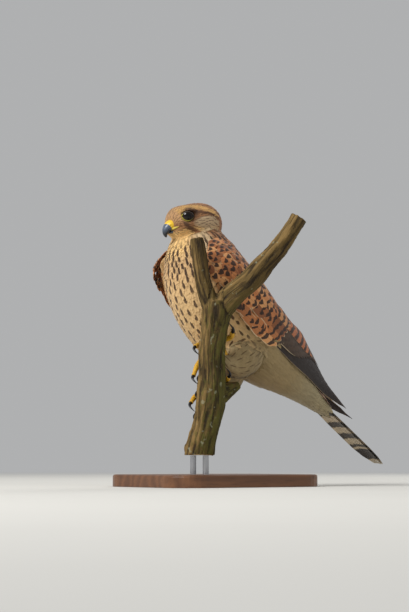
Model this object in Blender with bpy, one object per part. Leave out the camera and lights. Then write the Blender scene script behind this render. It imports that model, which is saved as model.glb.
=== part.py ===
"""A life-size common kestrel that clings to a cut length of forked branch, held up by a plain stand.

The bird faces -Y and its left side is +X. Sizes below are in millimetres, and the meshes are in metres.
The origin is the middle of the stand's underside.
"""

import math

import bmesh
import bpy
import numpy as np

MM = 0.001
GAP = 0.3  # left between pieces that touch
SOLVER = "MANIFOLD"  # the exact solver loses whole pieces in some of these cuts
FLAT = 2.0  # degrees: faces that meet flatter than this become one
FOLD = 40  # degrees: faces that meet more sharply than this show an edge
MERGES = (0.04, 0.02, 0.01, 0.004, 0.002)  # points closer than this after a cut become one

# The body's spine from inside the head to inside the tail, in the plane of symmetry.
# Each row is y, z of the spine, half width, depth to the back, depth to the breast.
BODY_STATIONS = (
    (-26, 221, 14, 14, 13),
    (-22, 213.5, 19.5, 18, 25),
    (-18, 206, 24, 22.5, 33),
    (-12, 193, 32, 27, 38.5),
    (-5, 177, 36, 33, 42.5),
    (6, 158, 37, 36, 43.5),
    (24, 138, 36, 33, 41),
    (48, 117, 30, 28, 32),
    (74, 100, 20, 18, 21.5),
    (97, 84, 14, 10.5, 13),
    (119, 67, 9, 4.5, 5),
    (127, 60.5, 5, 2.5, 3),
)
# The pieces of the body run between these rows.
NECK_ROWS = (0, 2)
TORSO_ROWS = (2, 8)
SHEATH_ROWS = (8, 11)
BODY_SIDES = 22
TORSO_RINGS = 13
SHEATH_RINGS = 9
NECK_RINGS = 5

TAIL_TIP = (187.5, 16.5)
TAIL_ROOT = (84, 92)
TAIL_FEATHERS = 12
TAIL_STEP = 0.6  # each feather ends this much short of the one above
TAIL_SPREAD = 3.5  # the lowest feathers' tips lie this far to each side
TAIL_LIFT = 2.2
TAIL_LAYER = 0.3  # from one feather down to the next
TAIL_VANE_WIDTH = 14
TAIL_VANE_DEPTH = 0.7

# The head is built round its own centre, facing -Y, then turned and nodded.
HEAD_CENTRE = (0, -28, 223.5)
HEAD_TURN = -4  # degrees, to the bird's right when under 0
HEAD_NOD = 12  # degrees, bill down
# Each row is distance forward, height of the middle, half width, height above it, depth below it.
HEAD_STATIONS = (
    (-28.5, -4, 4, 4, 4),
    (-26.0, -4, 11, 10.5, 11),
    (-18.5, -3, 17.0, 15.6, 16.5),
    (-8, -2, 19.2, 16.8, 17.5),
    (1, -2, 19.0, 16.8, 16.5),
    (8, -2, 17.5, 16.6, 14.6),
    (13.0, -2.3, 15.4, 15.6, 12.0),
    (16.4, -3.0, 12.4, 13.0, 9.0),
    (18.4, -3.6, 7.0, 8.6, 5.6),
)
HEAD_SIDES = 20
HEAD_RINGS = 14
EYE_RADIUS = 6.1
EYE_PLACE = (11.9, 7.0, 3.4)  # across, forward, up from the head's centre
EYE_FORWARD = 27  # degrees that each eye looks forward of straight out
LID_RADIUS = 4.7
LID_OUT = 5.0  # from the eye's middle
LID_THICKNESS = 0.8
LID_HEIGHT = 1.0
LID_SIDES = 16
LID_ROUND = 5  # points round the ring's own section
BROW_SIZE = (2.0, 7.2, 1.5)
BROW_PLACE = (14.4, 8.6, 8.2)
BROW_LEAN = 20  # degrees that a brow turns in towards the bill

# The upper bill sweeps forward and hooks down. Each row is forward, up, half width, half height.
BILL_STATIONS = (
    (12.0, -2.6, 6.0, 4.6),
    (16.8, -2.4, 5.2, 4.3),
    (20.4, -3.4, 4.0, 3.7),
    (23.0, -5.8, 2.7, 2.7),
    (24.2, -8.8, 1.5, 1.6),
    (23.9, -11.6, 0.4, 0.5),
)
CERE_SHARE = 0.46  # of the bill's sweep, covered by the cere
CERE_LAP = 0.02  # share of the sweep that the cere runs on over the bill
CERE_SWELL = 0.45
NOSTRIL_PLACE = (4.4, 19.8, -2.5)
NOSTRIL_RADIUS = 0.9
LOWER_BILL_STATIONS = (
    (11.5, -8.4, 4.6, 2.0),
    (16.5, -8.7, 3.8, 1.9),
    (20.2, -9.1, 2.6, 1.5),
    (22.2, -9.1, 1.2, 0.7),
)

# The branch: x, y, z of its middle and its radius, from the sawn foot up.
TRUNK_STATIONS = (
    (22.0, -31.4, 26.0, 12.0),
    (24.2, -30.2, 38.0, 11.6),
    (27.4, -27.7, 52.0, 11.5),
    (30.8, -26.4, 71.0, 12.2),
    (32.6, -26.8, 84.0, 11.5),
    (34.1, -27.4, 98.0, 10.6),
    (36.6, -28.8, 113.0, 10.6),
    (40.7, -29.4, 129.0, 11.2),
    (44.6, -30.4, 144.0, 12.4),
    (46.4, -31.4, 153.0, 10.6),
)
# Each length of branch: rings, points round a ring, ridges of bark, and radians that the ridges wind.
BOUGHS = {
    "perch_trunk": (22, 16, 5, 2.4),
    "stub": (12, 14, 3, 1.5),
    "perch_limb": (16, 16, 4, 2.0),
    "perch_snag": (9, 14, 4, 1.2),
}
BARK_RIDGE = 0.035  # share of the radius
BARK_LUMP = 0.03
KNOB_PLACE = (17.0, -38.0, 31.5)
KNOB_SIZE = (4.6, 4.6, 5.2)
STUB_STATIONS = (
    (44.0, -34.0, 146.0, 8.5),
    (42.2, -39.8, 160.0, 7.0),
    (41.4, -43.4, 178.0, 6.2),
    (41.0, -46.4, 195.0, 6.0),
    (40.8, -47.6, 202.5, 5.2),
)
LIMB_STATIONS = (
    (44.0, -30.0, 141.0, 10.5),
    (54.5, -21.0, 156.0, 10.0),
    (66.4, -11.0, 168.4, 9.4),
    (74.0, -3.6, 180.4, 8.4),
    (81.6, 4.4, 192.5, 7.6),
    (90.0, 12.6, 208.5, 7.3),
    (94.5, 17.0, 218.5, 7.2),
)
SIDE_STUB_STATIONS = (
    (30.0, -26.5, 72.0, 11.0),
    (31.0, -17.0, 76.5, 9.0),
    (32.4, -7.0, 81.0, 5.6),
    (33.1, 0.5, 83.4, 3.4),
)

# The stand.
BASE_LENGTH = 150
BASE_WIDTH = 120
BASE_HEIGHT = 10
BASE_CORNER = 24
BASE_EASE = 2
ROD_RADIUS = 2.5
ROD_OFFSETS = (-5.5, 5.5)
ROD_LINE = np.array([0.82, 0.57, 0])  # the rods stand along this line

# The wing is a curved sheet through three edges, from the bend of the wing to its tip, for the left side.
WING_LOWER = (
    (34, -37, 182), (40, -27, 167), (41, -11, 149), (40, 6, 134), (36, 22, 123), (30, 41, 112),
    (24, 62, 100), (19, 82, 90), (13, 106, 78), (9, 126, 70.5), (6.5, 140, 66.5),
)
WING_MIDDLE = (
    (34, -32, 193), (40, -15, 188), (43, 3, 175), (43, 22, 158), (39, 39, 144), (32, 55, 132),
    (24, 73, 119), (18, 88, 107), (12, 109, 89), (9, 127, 77), (7, 139.5, 68.5),
)
WING_UPPER = (
    (25, -24, 206), (22, -3, 204), (20, 16, 189.5), (18, 32.5, 171.5), (15, 47.5, 154), (12, 66, 142),
    (8, 84.5, 135.5), (6, 96.5, 121.5), (5, 114, 97.5), (5, 128, 82), (5.5, 138, 71),
)
WING_ROWS = 14
WING_COLUMNS = 6
WING_DEPTH = 9.0  # of the wing's flesh over the body, before the body is cut out of it
WING_TIP_DEPTH = 1.6
WING_TAPER_SHARE = 0.7
WING_FLESH_END = 0.86
WING_LENGTH = 225
WING_BEND_SIZES = (0.4, 0.8, 0.95)  # the first rings shrink to the round bend of the wing
RIGHT_TIP_SHIFT = (-5.5, 15.0, -9.0)  # moves the right wing's tip away from the mirrored left one
RIGHT_BEND_SHIFT = (2.0, -3.0, 1.0)  # moves the bend of the right wing

# Feathers in the solids: long ones taper to a rounded tip, and coverts are short and round.
VANE_DEPTH = 1.1
ROOT_SUNK = 1.2
LONG_SHAPE = (0.7, 1.0, 0.9, 0.3)
ROUND_SHAPE = (0.8, 1.0, 0.85, 0.35)
# Each tier's first and last feather: root and tip on the wing (share along it and height across it),
# width in millimetres, and lift of the tip off the wing.
WING_TIERS = {
    "primary": {
        "count": 5, "shape": LONG_SHAPE, "lean": 3.0,
        "first": np.array([0.58, 0.10, 1.00, 0.35, 9.0, 0.0]),
        "last": np.array([0.52, 0.50, 0.78, 0.80, 10.0, 0.9]),
    },
    "secondary": {
        "count": 4, "shape": LONG_SHAPE, "lean": 3.0,
        "first": np.array([0.40, 0.16, 0.62, 0.34, 11.0, 0.7]),
        "last": np.array([0.46, 0.70, 0.74, 0.86, 12.0, 1.5]),
    },
    "tertial": {
        "count": 3, "shape": LONG_SHAPE, "lean": 2.0,
        "first": np.array([0.42, 0.66, 0.64, 0.78, 14.0, 1.9]),
        "last": np.array([0.34, 0.84, 0.56, 0.90, 15.0, 2.3]),
    },
    "greater covert": {
        "count": 5, "shape": ROUND_SHAPE, "lean": 2.0,
        "first": np.array([0.29, 0.06, 0.42, 0.12, 12.0, 1.2]),
        "last": np.array([0.36, 0.66, 0.49, 0.76, 13.0, 2.2]),
    },
    "median covert": {
        "count": 5, "shape": ROUND_SHAPE, "lean": 2.0,
        "first": np.array([0.19, 0.06, 0.30, 0.08, 12.0, 1.2]),
        "last": np.array([0.27, 0.76, 0.39, 0.84, 13.0, 2.2]),
    },
    "lesser covert": {
        "count": 4, "shape": ROUND_SHAPE, "lean": 2.0,
        "first": np.array([0.09, 0.12, 0.19, 0.10, 13.0, 1.0]),
        "last": np.array([0.18, 0.86, 0.28, 0.88, 14.0, 1.8]),
    },
}

# The legs. Each foot grips the trunk, with its palm at one height.
LEGS = {
    "left": {"hip": (17, 26, 117), "heel": (24, -4, 96), "palm": 120.0},
    "right": {"hip": (-9, 28, 113), "heel": (4, -2, 78), "palm": 86.0},
}
# Half width and half height of a thigh with its feathers, from the hip down.
THIGH_SIZES = ((15, 17), (16, 18), (14.5, 16.5), (10.5, 12), (7, 7.5), (4, 4.2))
THIGH_REACH = 0.5  # share of the tarsus that the leg's feathers cover
THIGH_RINGS = 10
THIGH_SIDES = 16
SHIN_TOP = -3  # the bare tarsus starts inside the thigh, at this ring counted from its end
SHIN_RINGS = 8
SHIN_SIDES = 12
PALM_WAY = 122  # degrees round the trunk from the X axis
PALM_RADIUS = 3.2  # from the bark to the palm's middle
PALM_SIZE = (4.8, 3.84, 5.44)
TARSUS_RADIUS = 2.1
TOE_RADIUS = 2.2
TOE_BULGE = 3.2  # a toe's middle arches this far off the bark
TOE_RINGS = 9
TOE_SIDES = 8
CLAW_RINGS = 6
CLAW_SIDES = 6
CLAW_LAP = 4  # degrees that a claw starts back inside its toe
CLAW_RADIUS = 1.35
CLAW_BULGE = 2.0
CLAW_REACH = 34  # degrees round the trunk
CLAW_DROP = 7.5
TOE_SIDE_WAY = (0.1, 0.2, 1)  # nearly upright, so that a toe's section never twists
# Each toe: degrees that it reaches round the trunk, and the rise of its end above the palm.
TOES = {
    "left": {"outer": (100, -5.0), "middle": (106, -29.0), "inner": (58, -27.0), "hind": (-66, 6.0)},
    "right": {"inner": (60, -6.0), "middle": (104, -17.0), "outer": (56, -24.0), "hind": (-46, 4.0)},
}

MATERIALS = {
    "breast": ((0.62, 0.46, 0.28), 0.85, 0.0),
    "crown": ((0.46, 0.30, 0.17), 0.85, 0.0),
    "wing": ((0.42, 0.19, 0.09), 0.8, 0.0),
    "tail": ((0.36, 0.27, 0.18), 0.8, 0.0),
    "bill": ((0.10, 0.12, 0.15), 0.35, 0.0),
    "cere": ((0.85, 0.55, 0.05), 0.45, 0.0),
    "eye": ((0.015, 0.008, 0.006), 0.08, 0.0),
    "claw": ((0.02, 0.02, 0.025), 0.35, 0.0),
    "bark": ((0.16, 0.12, 0.07), 0.95, 0.0),
    "stand": ((0.28, 0.17, 0.09), 0.5, 0.0),
    "steel": ((0.55, 0.56, 0.58), 0.3, 1.0),
}


def material(name):
    """The named Principled material, made once."""
    made = bpy.data.materials.get(name)
    if made is None:
        colour, roughness, metallic = MATERIALS[name]
        made = bpy.data.materials.new(name)
        made.use_nodes = True
        shader = made.node_tree.nodes["Principled BSDF"]
        shader.inputs["Base Color"].default_value = (*colour, 1)
        shader.inputs["Roughness"].default_value = roughness
        shader.inputs["Metallic"].default_value = metallic
        made.diffuse_color = (*colour, 1)
    return made


def smooth(rows, share):
    """A point on the smooth curve through the rows, at this share of the way along."""
    rows = np.asarray(rows, float)
    last = len(rows) - 1
    at = min(max(share, 0.0), 1.0) * last
    i = min(int(at), last - 1)
    t = at - i
    slopes = np.gradient(rows, axis=0)
    a = 2 * t**3 - 3 * t**2 + 1
    b = t**3 - 2 * t**2 + t
    return a * rows[i] + b * slopes[i] + (1 - a) * rows[i + 1] + (t**3 - t**2) * slopes[i + 1]


def unit(v):
    return v / np.linalg.norm(v)


def mesh_object(name, points, faces, kind):
    """An object from points in millimetres, with its faces turned outwards."""
    mesh = bpy.data.meshes.new(name)
    mesh.from_pydata([tuple(float(x) * MM for x in p) for p in points], [], faces)
    shell = bmesh.new()
    shell.from_mesh(mesh)
    bmesh.ops.recalc_face_normals(shell, faces=shell.faces)
    shell.to_mesh(mesh)
    shell.free()
    mesh.materials.append(material(kind))
    made = bpy.data.objects.new(name, mesh)
    bpy.context.scene.collection.objects.link(made)
    return made


def loft(name, rings, kind):
    """A closed skin over rings of points, with a fan over each end."""
    sides = len(rings[0])
    points = [p for ring in rings for p in ring]
    faces = []
    for i in range(len(rings) - 1):
        for j in range(sides):
            k = (j + 1) % sides
            faces.append((i * sides + j, i * sides + k, (i + 1) * sides + k, (i + 1) * sides + j))
    for i in (0, len(rings) - 1):
        middle = len(points)
        points.append(np.mean(rings[i], axis=0))
        faces += [(i * sides + j, i * sides + (j + 1) % sides, middle) for j in range(sides)]
    return mesh_object(name, points, faces, kind)


def evaluated(made):
    """Applies the object's modifiers."""
    graph = bpy.context.evaluated_depsgraph_get()
    mesh = bpy.data.meshes.new_from_object(made.evaluated_get(graph))
    old = made.data
    made.modifiers.clear()
    made.data = mesh
    bpy.data.meshes.remove(old)


def keep_largest(made):
    """Keeps only the largest closed surface of the object."""
    shell = bmesh.new()
    shell.from_mesh(made.data)
    shell.faces.ensure_lookup_table()
    seen = set()
    islands = []
    for face in shell.faces:
        if face in seen:
            continue
        island, waiting = [], [face]
        seen.add(face)
        while waiting:
            here = waiting.pop()
            island.append(here)
            for edge in here.edges:
                for near in edge.link_faces:
                    if near not in seen:
                        seen.add(near)
                        waiting.append(near)
        islands.append(island)

    def volume(island):
        total = 0.0
        for face in island:
            corners = [v.co for v in face.verts]
            for b, c in zip(corners[1:], corners[2:]):
                total += corners[0].dot(b.cross(c))
        return abs(total)

    largest = max(islands, key=volume)
    for island in islands:
        if island is not largest:
            bmesh.ops.delete(shell, geom=island, context="FACES")
    loose = [v for v in shell.verts if not v.link_faces]
    bmesh.ops.delete(shell, geom=loose, context="VERTS")
    shell.to_mesh(made.data)
    shell.free()


def tidy(made):
    """Merges points that cuts left too close, by the widest distance that keeps the solid closed."""
    for merge in MERGES:
        shell = bmesh.new()
        shell.from_mesh(made.data)
        bmesh.ops.triangulate(shell, faces=shell.faces)
        bmesh.ops.remove_doubles(shell, verts=shell.verts, dist=merge * MM)
        bmesh.ops.dissolve_degenerate(shell, edges=shell.edges, dist=merge * MM)
        bmesh.ops.dissolve_limit(shell, angle_limit=math.radians(FLAT), verts=shell.verts, edges=shell.edges)
        bmesh.ops.triangulate(shell, faces=shell.faces)
        closed = all(len(edge.link_faces) == 2 for edge in shell.edges)
        if closed:
            shell.to_mesh(made.data)
        shell.free()
        if closed:
            keep_largest(made)
            return made
    return made


def swollen(made, by=GAP):
    """A helper copy of the object, grown outwards."""
    shell = bmesh.new()
    shell.from_mesh(made.data)
    shell.normal_update()
    moves = [v.normal * (by * MM) * min(v.calc_shell_factor(), 1.5) for v in shell.verts]
    for v, move in zip(shell.verts, moves):
        v.co += move
    mesh = bpy.data.meshes.new(made.name + "_swollen")
    shell.to_mesh(mesh)
    shell.free()
    copy = bpy.data.objects.new(mesh.name, mesh)
    bpy.context.scene.collection.objects.link(copy)
    return copy


def carve(made, *cutters):
    """Cuts the cutters out of the object and removes them."""
    for cutter in cutters:
        cut = made.modifiers.new("cut", "BOOLEAN")
        cut.operation = "DIFFERENCE"
        cut.solver = SOLVER
        cut.object = cutter
        evaluated(made)
        bpy.data.objects.remove(cutter)
    keep_largest(made)
    return made


def unite(made, pieces):
    """Joins the pieces to the object with one Boolean union and removes them."""
    group = bpy.data.collections.new(made.name + "_pieces")
    for piece in pieces:
        bpy.context.scene.collection.objects.unlink(piece)
        group.objects.link(piece)
    joined = made.modifiers.new("join", "BOOLEAN")
    joined.operation = "UNION"
    joined.solver = SOLVER
    joined.operand_type = "COLLECTION"
    joined.collection = group
    evaluated(made)
    for piece in pieces:
        bpy.data.objects.remove(piece)
    bpy.data.collections.remove(group)
    keep_largest(made)
    return made


def vane(name, path, sides, ups, widths, depth, kind):
    """One feather's vane, closed, with the same triangles above and below."""
    points, faces = [], []
    for middle, side, up, width in zip(path, sides, ups, widths):
        half = side * width / 2
        points += [middle - half, middle + half, middle + half - up * depth, middle - half - up * depth]
    last = 4 * (len(path) - 1)
    for i in range(0, last, 4):
        for j in range(4):
            a, b, c, d = i + j, i + (j + 1) % 4, i + 4 + (j + 1) % 4, i + 4 + j
            faces += [(a, b, d), (b, c, d)] if j == 2 else [(a, b, c), (a, c, d)]
    for i in (0, last):
        faces += [(i, i + 1, i + 2), (i, i + 2, i + 3)]
    return mesh_object(name, points, faces, kind)


def body_ring(row, shift=0.0):
    """A ring across the body at this row of the stations. It leans with the spine, and shift moves it."""
    last = len(BODY_STATIONS) - 1
    y, z, width, back, front = smooth(BODY_STATIONS, row / last)
    ahead = smooth(BODY_STATIONS, (row + 0.1) / last) - smooth(BODY_STATIONS, (row - 0.1) / last)
    along = unit(np.array([0, ahead[0], ahead[1]]))
    dorsal = np.array([0, -along[2], along[1]])
    middle = np.array([0, y, z]) + along * shift
    ring = []
    for i in range(BODY_SIDES):
        turn = 2 * math.pi * i / BODY_SIDES
        height = math.cos(turn)
        ring.append(middle + dorsal * height * (back if height > 0 else front)
                    + np.array([width * math.sin(turn), 0, 0]))
    return ring


def body_loft(name, rows, count, kind, first_shift=0.0):
    """A piece of the body between two rows of the stations."""
    rings = []
    for i in range(count):
        row = rows[0] + (rows[1] - rows[0]) * i / (count - 1)
        rings.append(body_ring(row, first_shift if i == 0 else 0.0))
    return loft(name, rings, kind)


def head_matrix():
    """Turns a point of the upright head to where the head looks."""
    turn, nod = math.radians(HEAD_TURN), math.radians(HEAD_NOD)
    c, s = math.cos(turn), math.sin(turn)
    about_z = np.array([[c, -s, 0], [s, c, 0], [0, 0, 1]])
    c, s = math.cos(nod), math.sin(nod)
    about_x = np.array([[1, 0, 0], [0, c, -s], [0, s, c]])
    return about_z @ about_x


def on_head(across, forward, rise):
    return np.array(HEAD_CENTRE, float) + head_matrix() @ np.array([across, -forward, rise], float)


def make_head():
    rings = []
    for i in range(HEAD_RINGS):
        forward, middle, width, above, below = smooth(HEAD_STATIONS, i / (HEAD_RINGS - 1))
        ring = []
        for j in range(HEAD_SIDES):
            turn = 2 * math.pi * j / HEAD_SIDES
            height = math.cos(turn)
            rise = middle + height * (above if height > 0 else below)
            ring.append(on_head(width * math.sin(turn), forward, rise))
        rings.append(ring)
    return loft("head", rings, "crown")


def tube(name, path, widths, heights, sides, kind, side_way=(1, 0, 0)):
    """A closed tube along a path. Its widths lie along side_way and its heights across it."""
    path = [np.asarray(p, float) for p in path]
    rings = []
    for i, here in enumerate(path):
        along = unit(path[min(i + 1, len(path) - 1)] - path[max(i - 1, 0)])
        side = np.asarray(side_way, float)
        side = unit(side - along * side.dot(along))
        rise = np.cross(side, along)
        rings.append([
            here + side * (widths[i] * math.sin(2 * math.pi * j / sides))
            + rise * (heights[i] * math.cos(2 * math.pi * j / sides))
            for j in range(sides)
        ])
    return loft(name, rings, kind)


def bill_tube(name, stations, begin, end, count, swell, kind, sides=12):
    """The part of a bill's sweep between two shares of it."""
    rows = [smooth(stations, begin + (end - begin) * i / (count - 1)) for i in range(count)]
    path = [on_head(0, row[0], row[1]) for row in rows]
    swells = [swell * (1 - (i / (count - 1)) ** 3) for i in range(count)]
    widths = [row[2] + more for row, more in zip(rows, swells)]
    heights = [row[3] + more for row, more in zip(rows, swells)]
    return tube(name, path, widths, heights, sides, kind, head_matrix() @ np.array([1, 0, 0]))


def ball(name, centre, radius, kind, segments=20, rings=12):
    """A round solid, with one radius or three."""
    shell = bmesh.new()
    bmesh.ops.create_uvsphere(shell, u_segments=segments, v_segments=rings, radius=1)
    sizes = np.broadcast_to(radius, 3)
    points = [[centre[i] + vert.co[i] * sizes[i] for i in range(3)] for vert in shell.verts]
    faces = [[vert.index for vert in face.verts] for face in shell.faces]
    shell.free()
    return mesh_object(name, points, faces, kind)


def across_head(side):
    """The way that an eye looks."""
    ahead = math.radians(EYE_FORWARD)
    return head_matrix() @ np.array([side * math.cos(ahead), -math.sin(ahead), 0.0])


def make_lids(name, side):
    """The raised ring of bare skin round an eye."""
    across, forward, rise = EYE_PLACE
    look = across_head(side)
    centre = on_head(side * across, forward, rise) + look * LID_OUT
    first = unit(np.cross(look, (0, 0, 1)))
    second = np.cross(look, first)
    points, faces = [], []
    for i in range(LID_SIDES):
        turn = 2 * math.pi * i / LID_SIDES
        out = first * math.cos(turn) + second * math.sin(turn)
        for j in range(LID_ROUND):
            lean = 2 * math.pi * j / LID_ROUND
            points.append(centre + out * (LID_RADIUS + LID_THICKNESS * math.cos(lean))
                          + look * (LID_HEIGHT * math.sin(lean)))
            k, m = (i + 1) % LID_SIDES, (j + 1) % LID_ROUND
            faces.append((i * LID_ROUND + j, k * LID_ROUND + j, k * LID_ROUND + m, i * LID_ROUND + m))
    return mesh_object(name, points, faces, "crown")


def make_face():
    """The head with its eyes, bill and cere."""
    head = make_head()
    eyes = []
    across, forward, rise = EYE_PLACE
    for word, side in (("left", 1), ("right", -1)):
        brow = ball("brow", (0, 0, 0), BROW_SIZE, "crown", 12, 6)
        place = on_head(side * BROW_PLACE[0], BROW_PLACE[1], BROW_PLACE[2])
        lean = math.radians(-side * BROW_LEAN)
        c, s = math.cos(lean), math.sin(lean)
        for vert in brow.data.vertices:
            x, y, z = vert.co
            turned = np.array([x * c - y * s, x * s + y * c, z])
            vert.co = place * MM + head_matrix() @ turned
        unite(head, [brow, make_lids("lids", side)])
        centre = on_head(side * across, forward, rise)
        eyes.append(ball("eye_" + word, centre, EYE_RADIUS, "eye", 16, 10))
    carve(head, *[swollen(eye) for eye in eyes])
    upper = bill_tube("bill_upper", BILL_STATIONS, CERE_SHARE, 1, 12, 0, "bill")
    lower = bill_tube("bill_lower", LOWER_BILL_STATIONS, 0, 1, 7, 0, "bill")
    cere = bill_tube("cere", BILL_STATIONS, 0, CERE_SHARE + CERE_LAP, 5, CERE_SWELL, "cere")
    carve(upper, swollen(cere))
    carve(cere, swollen(head))
    carve(lower, swollen(head), swollen(upper), swollen(cere))
    nostrils = [
        ball("nostril", on_head(side * NOSTRIL_PLACE[0], NOSTRIL_PLACE[1], NOSTRIL_PLACE[2]), NOSTRIL_RADIUS,
             "cere", 10, 6)
        for side in (1, -1)
    ]
    carve(cere, *nostrils)
    return head


def wing_place(share, height, side):
    """A point of the wing's sheet, with the ways along it, up across it and out of it."""
    lower, middle, upper = (wing_edge(edge, share, side) for edge in (WING_LOWER, WING_MIDDLE, WING_UPPER))
    t = height
    point = lower * (1 - t) * (1 - 2 * t) + middle * 4 * t * (1 - t) + upper * t * (2 * t - 1)
    slope = unit(lower * (4 * t - 3) + middle * (4 - 8 * t) + upper * (4 * t - 1))
    along = unit(wing_edge(WING_MIDDLE, min(share + 0.03, 1), side)
                 - wing_edge(WING_MIDDLE, max(share - 0.03, 0), side))
    out = unit(np.cross(along, slope)) * side
    return point, along, slope, out


def wing_vane(name, side, root, tip, width, lift, shape, depth=VANE_DEPTH, lean=0.0):
    """A vane that follows the wing's sheet from its root to its tip, both given as share and height."""
    path, sides, ups, widths = [], [], [], []
    count = len(shape)
    for i in range(count):
        s = i / (count - 1)
        share = root[0] + (tip[0] - root[0]) * s
        height = root[1] + (tip[1] - root[1]) * s
        over = max(share - 1, 0)
        point, along, slope, out = wing_place(min(share, 1), height, side)
        rise = lift * min(1, s * 2.5) - ROOT_SUNK * max(0, 1 - s * 2.5)
        path.append(point + along * over * WING_LENGTH + out * rise)
        ups.append(out)
        widths.append(width * shape[i])
    for i in range(count):
        way = unit(path[min(i + 1, count - 1)] - path[max(i - 1, 0)])
        across = unit(np.cross(ups[i], way))
        turn = math.radians(lean) * side
        sides.append(across * math.cos(turn) + ups[i] * math.sin(turn))
    return vane(name, path, sides, ups, widths, depth, "wing")


def make_wing(word, side, *under):
    """A folded wing. Its flesh is a sheet through the three edges, and the vanes lie on it in tiers."""
    rings = []
    for i in range(WING_ROWS):
        share = WING_FLESH_END * i / (WING_ROWS - 1)
        outer, inner = [], []
        ease = min(1.0, share / WING_TAPER_SHARE)
        depth = WING_DEPTH * (1 - ease) + WING_TIP_DEPTH * ease
        for j in range(WING_COLUMNS):
            t = j / (WING_COLUMNS - 1)
            point, along, slope, out = wing_place(share, t, side)
            outer.append(point)
            inner.append(point - out * depth * (0.5 + 0.5 * math.sin(math.pi * t)))
        ring = np.array(outer + inner[::-1])
        shrink = WING_BEND_SIZES[i] if i < len(WING_BEND_SIZES) else 1.0
        rings.append(ring.mean(axis=0) + (ring - ring.mean(axis=0)) * shrink)
    wing = loft("wing_" + word, rings, "wing")
    vanes = []
    for tier, rows in WING_TIERS.items():
        first, last = rows["first"], rows["last"]
        for i in range(rows["count"]):
            s = i / (rows["count"] - 1)
            root_share, root_height, tip_share, tip_height, width, lift = first + (last - first) * s
            vanes.append(wing_vane(tier, side, (root_share, root_height), (tip_share, tip_height),
                                   width, lift, rows["shape"], lean=rows["lean"]))
    unite(wing, vanes)
    return carve(wing, *[swollen(piece) for piece in under])


def wing_edge(edge, share, side):
    """A point of one of the wing's three lines. The right wing reaches a little further over the tail."""
    x, y, z = smooth(edge, share)
    if side < 0:
        x, y, z = (np.array([x, y, z]) + np.array(RIGHT_TIP_SHIFT) * share**5
                   + np.array(RIGHT_BEND_SHIFT) * max(0, 1 - 4 * share))
    return np.array([side * x, y, z])


def trunk_at(z):
    """The trunk's middle and its radius at this height."""
    rows = np.array(TRUNK_STATIONS, float)
    x, y, radius = (np.interp(z, rows[:, 2], rows[:, i]) for i in (0, 1, 3))
    return np.array([x, y, z]), radius


def bough(name, stations, level_ends=False):
    """A length of branch with low ridges of bark that wind round it."""
    count, sides, ridges, twist = BOUGHS[name]
    rows = [smooth(stations, i / (count - 1)) for i in range(count)]
    path = [row[:3] for row in rows]
    rings = []
    for i, row in enumerate(rows):
        along = unit(path[min(i + 1, count - 1)] - path[max(i - 1, 0)])
        if level_ends and i == 0:
            along = np.array([0, 0, 1.0])
        first = unit(np.cross(along, (0.3, 1, 0)))
        second = np.cross(along, first)
        ring = []
        for j in range(sides):
            turn = 2 * math.pi * j / sides
            wind = turn + twist * i / count
            swell = 1 + BARK_RIDGE * math.sin(ridges * wind)
            swell += BARK_LUMP * math.sin(2 * wind + 5.0 * i / count)
            ring.append(path[i] + (first * math.cos(turn) + second * math.sin(turn)) * row[3] * swell)
        rings.append(ring)
    return loft(name, rings, "bark")


def make_perch():
    trunk = bough("perch_trunk", TRUNK_STATIONS, True)
    stub = bough("stub", STUB_STATIONS)
    knob = ball("knob", KNOB_PLACE, KNOB_SIZE, "bark", 12, 8)
    unite(trunk, [stub, knob])
    limb = carve(bough("perch_limb", LIMB_STATIONS), swollen(trunk))
    snag = carve(bough("perch_snag", SIDE_STUB_STATIONS), swollen(trunk))
    return [trunk, limb, snag]


def grip_point(palm_height, degrees, rise, off):
    """A point beside the trunk: degrees round it from the palm's way, rise from the palm, off its bark."""
    centre, radius = trunk_at(palm_height + rise)
    way = math.radians(PALM_WAY + degrees)
    return centre + np.array([math.cos(way), math.sin(way), 0]) * (radius + off)


def make_foot(word, perch):
    """A foot with its four toes round the trunk, and a claw for each toe."""
    palm = LEGS[word]["palm"]
    pieces = []
    claws = []
    middle = grip_point(palm, 0, 0, PALM_RADIUS)
    foot = ball("foot_" + word, middle, PALM_SIZE, "cere", 16, 10)
    for toe, (reach, rise) in TOES[word].items():
        path, sizes = [], []
        for i in range(TOE_RINGS):
            s = i / (TOE_RINGS - 1)
            bulge = TOE_BULGE * math.sin(math.pi * min(1, s * 1.05)) ** 2
            path.append(grip_point(palm, reach * s, rise * s, TOE_RADIUS * (0.9 + 0.9 * s) + bulge))
            sizes.append(TOE_RADIUS * (1.12 - 0.28 * s + 0.07 * math.sin(6 * math.pi * s)))
        pieces.append(tube("toe", path, sizes, sizes, TOE_SIDES, "cere", TOE_SIDE_WAY))
        path, sizes = [], []
        step = 1 if reach > 0 else -1
        for i in range(CLAW_RINGS):
            s = i / (CLAW_RINGS - 1)
            hook = CLAW_BULGE * math.sin(math.pi * s)
            degrees = reach + step * (CLAW_REACH * s - CLAW_LAP)
            drop = math.copysign(CLAW_DROP, rise) * s**1.3
            path.append(grip_point(palm, degrees, rise + drop, TOE_RADIUS * 1.8 * (1 - s) + hook + 0.4 * s))
            sizes.append(CLAW_RADIUS * (1 - s) ** 0.8 + 0.12)
        claws.append(tube(f"claw_{word}_{toe}", path, sizes, sizes, CLAW_SIDES, "claw", TOE_SIDE_WAY))
    unite(foot, pieces)
    carve(foot, *[swollen(piece) for piece in perch])
    for claw in claws:
        carve(claw, swollen(foot), *[swollen(piece) for piece in perch])
    return foot


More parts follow.
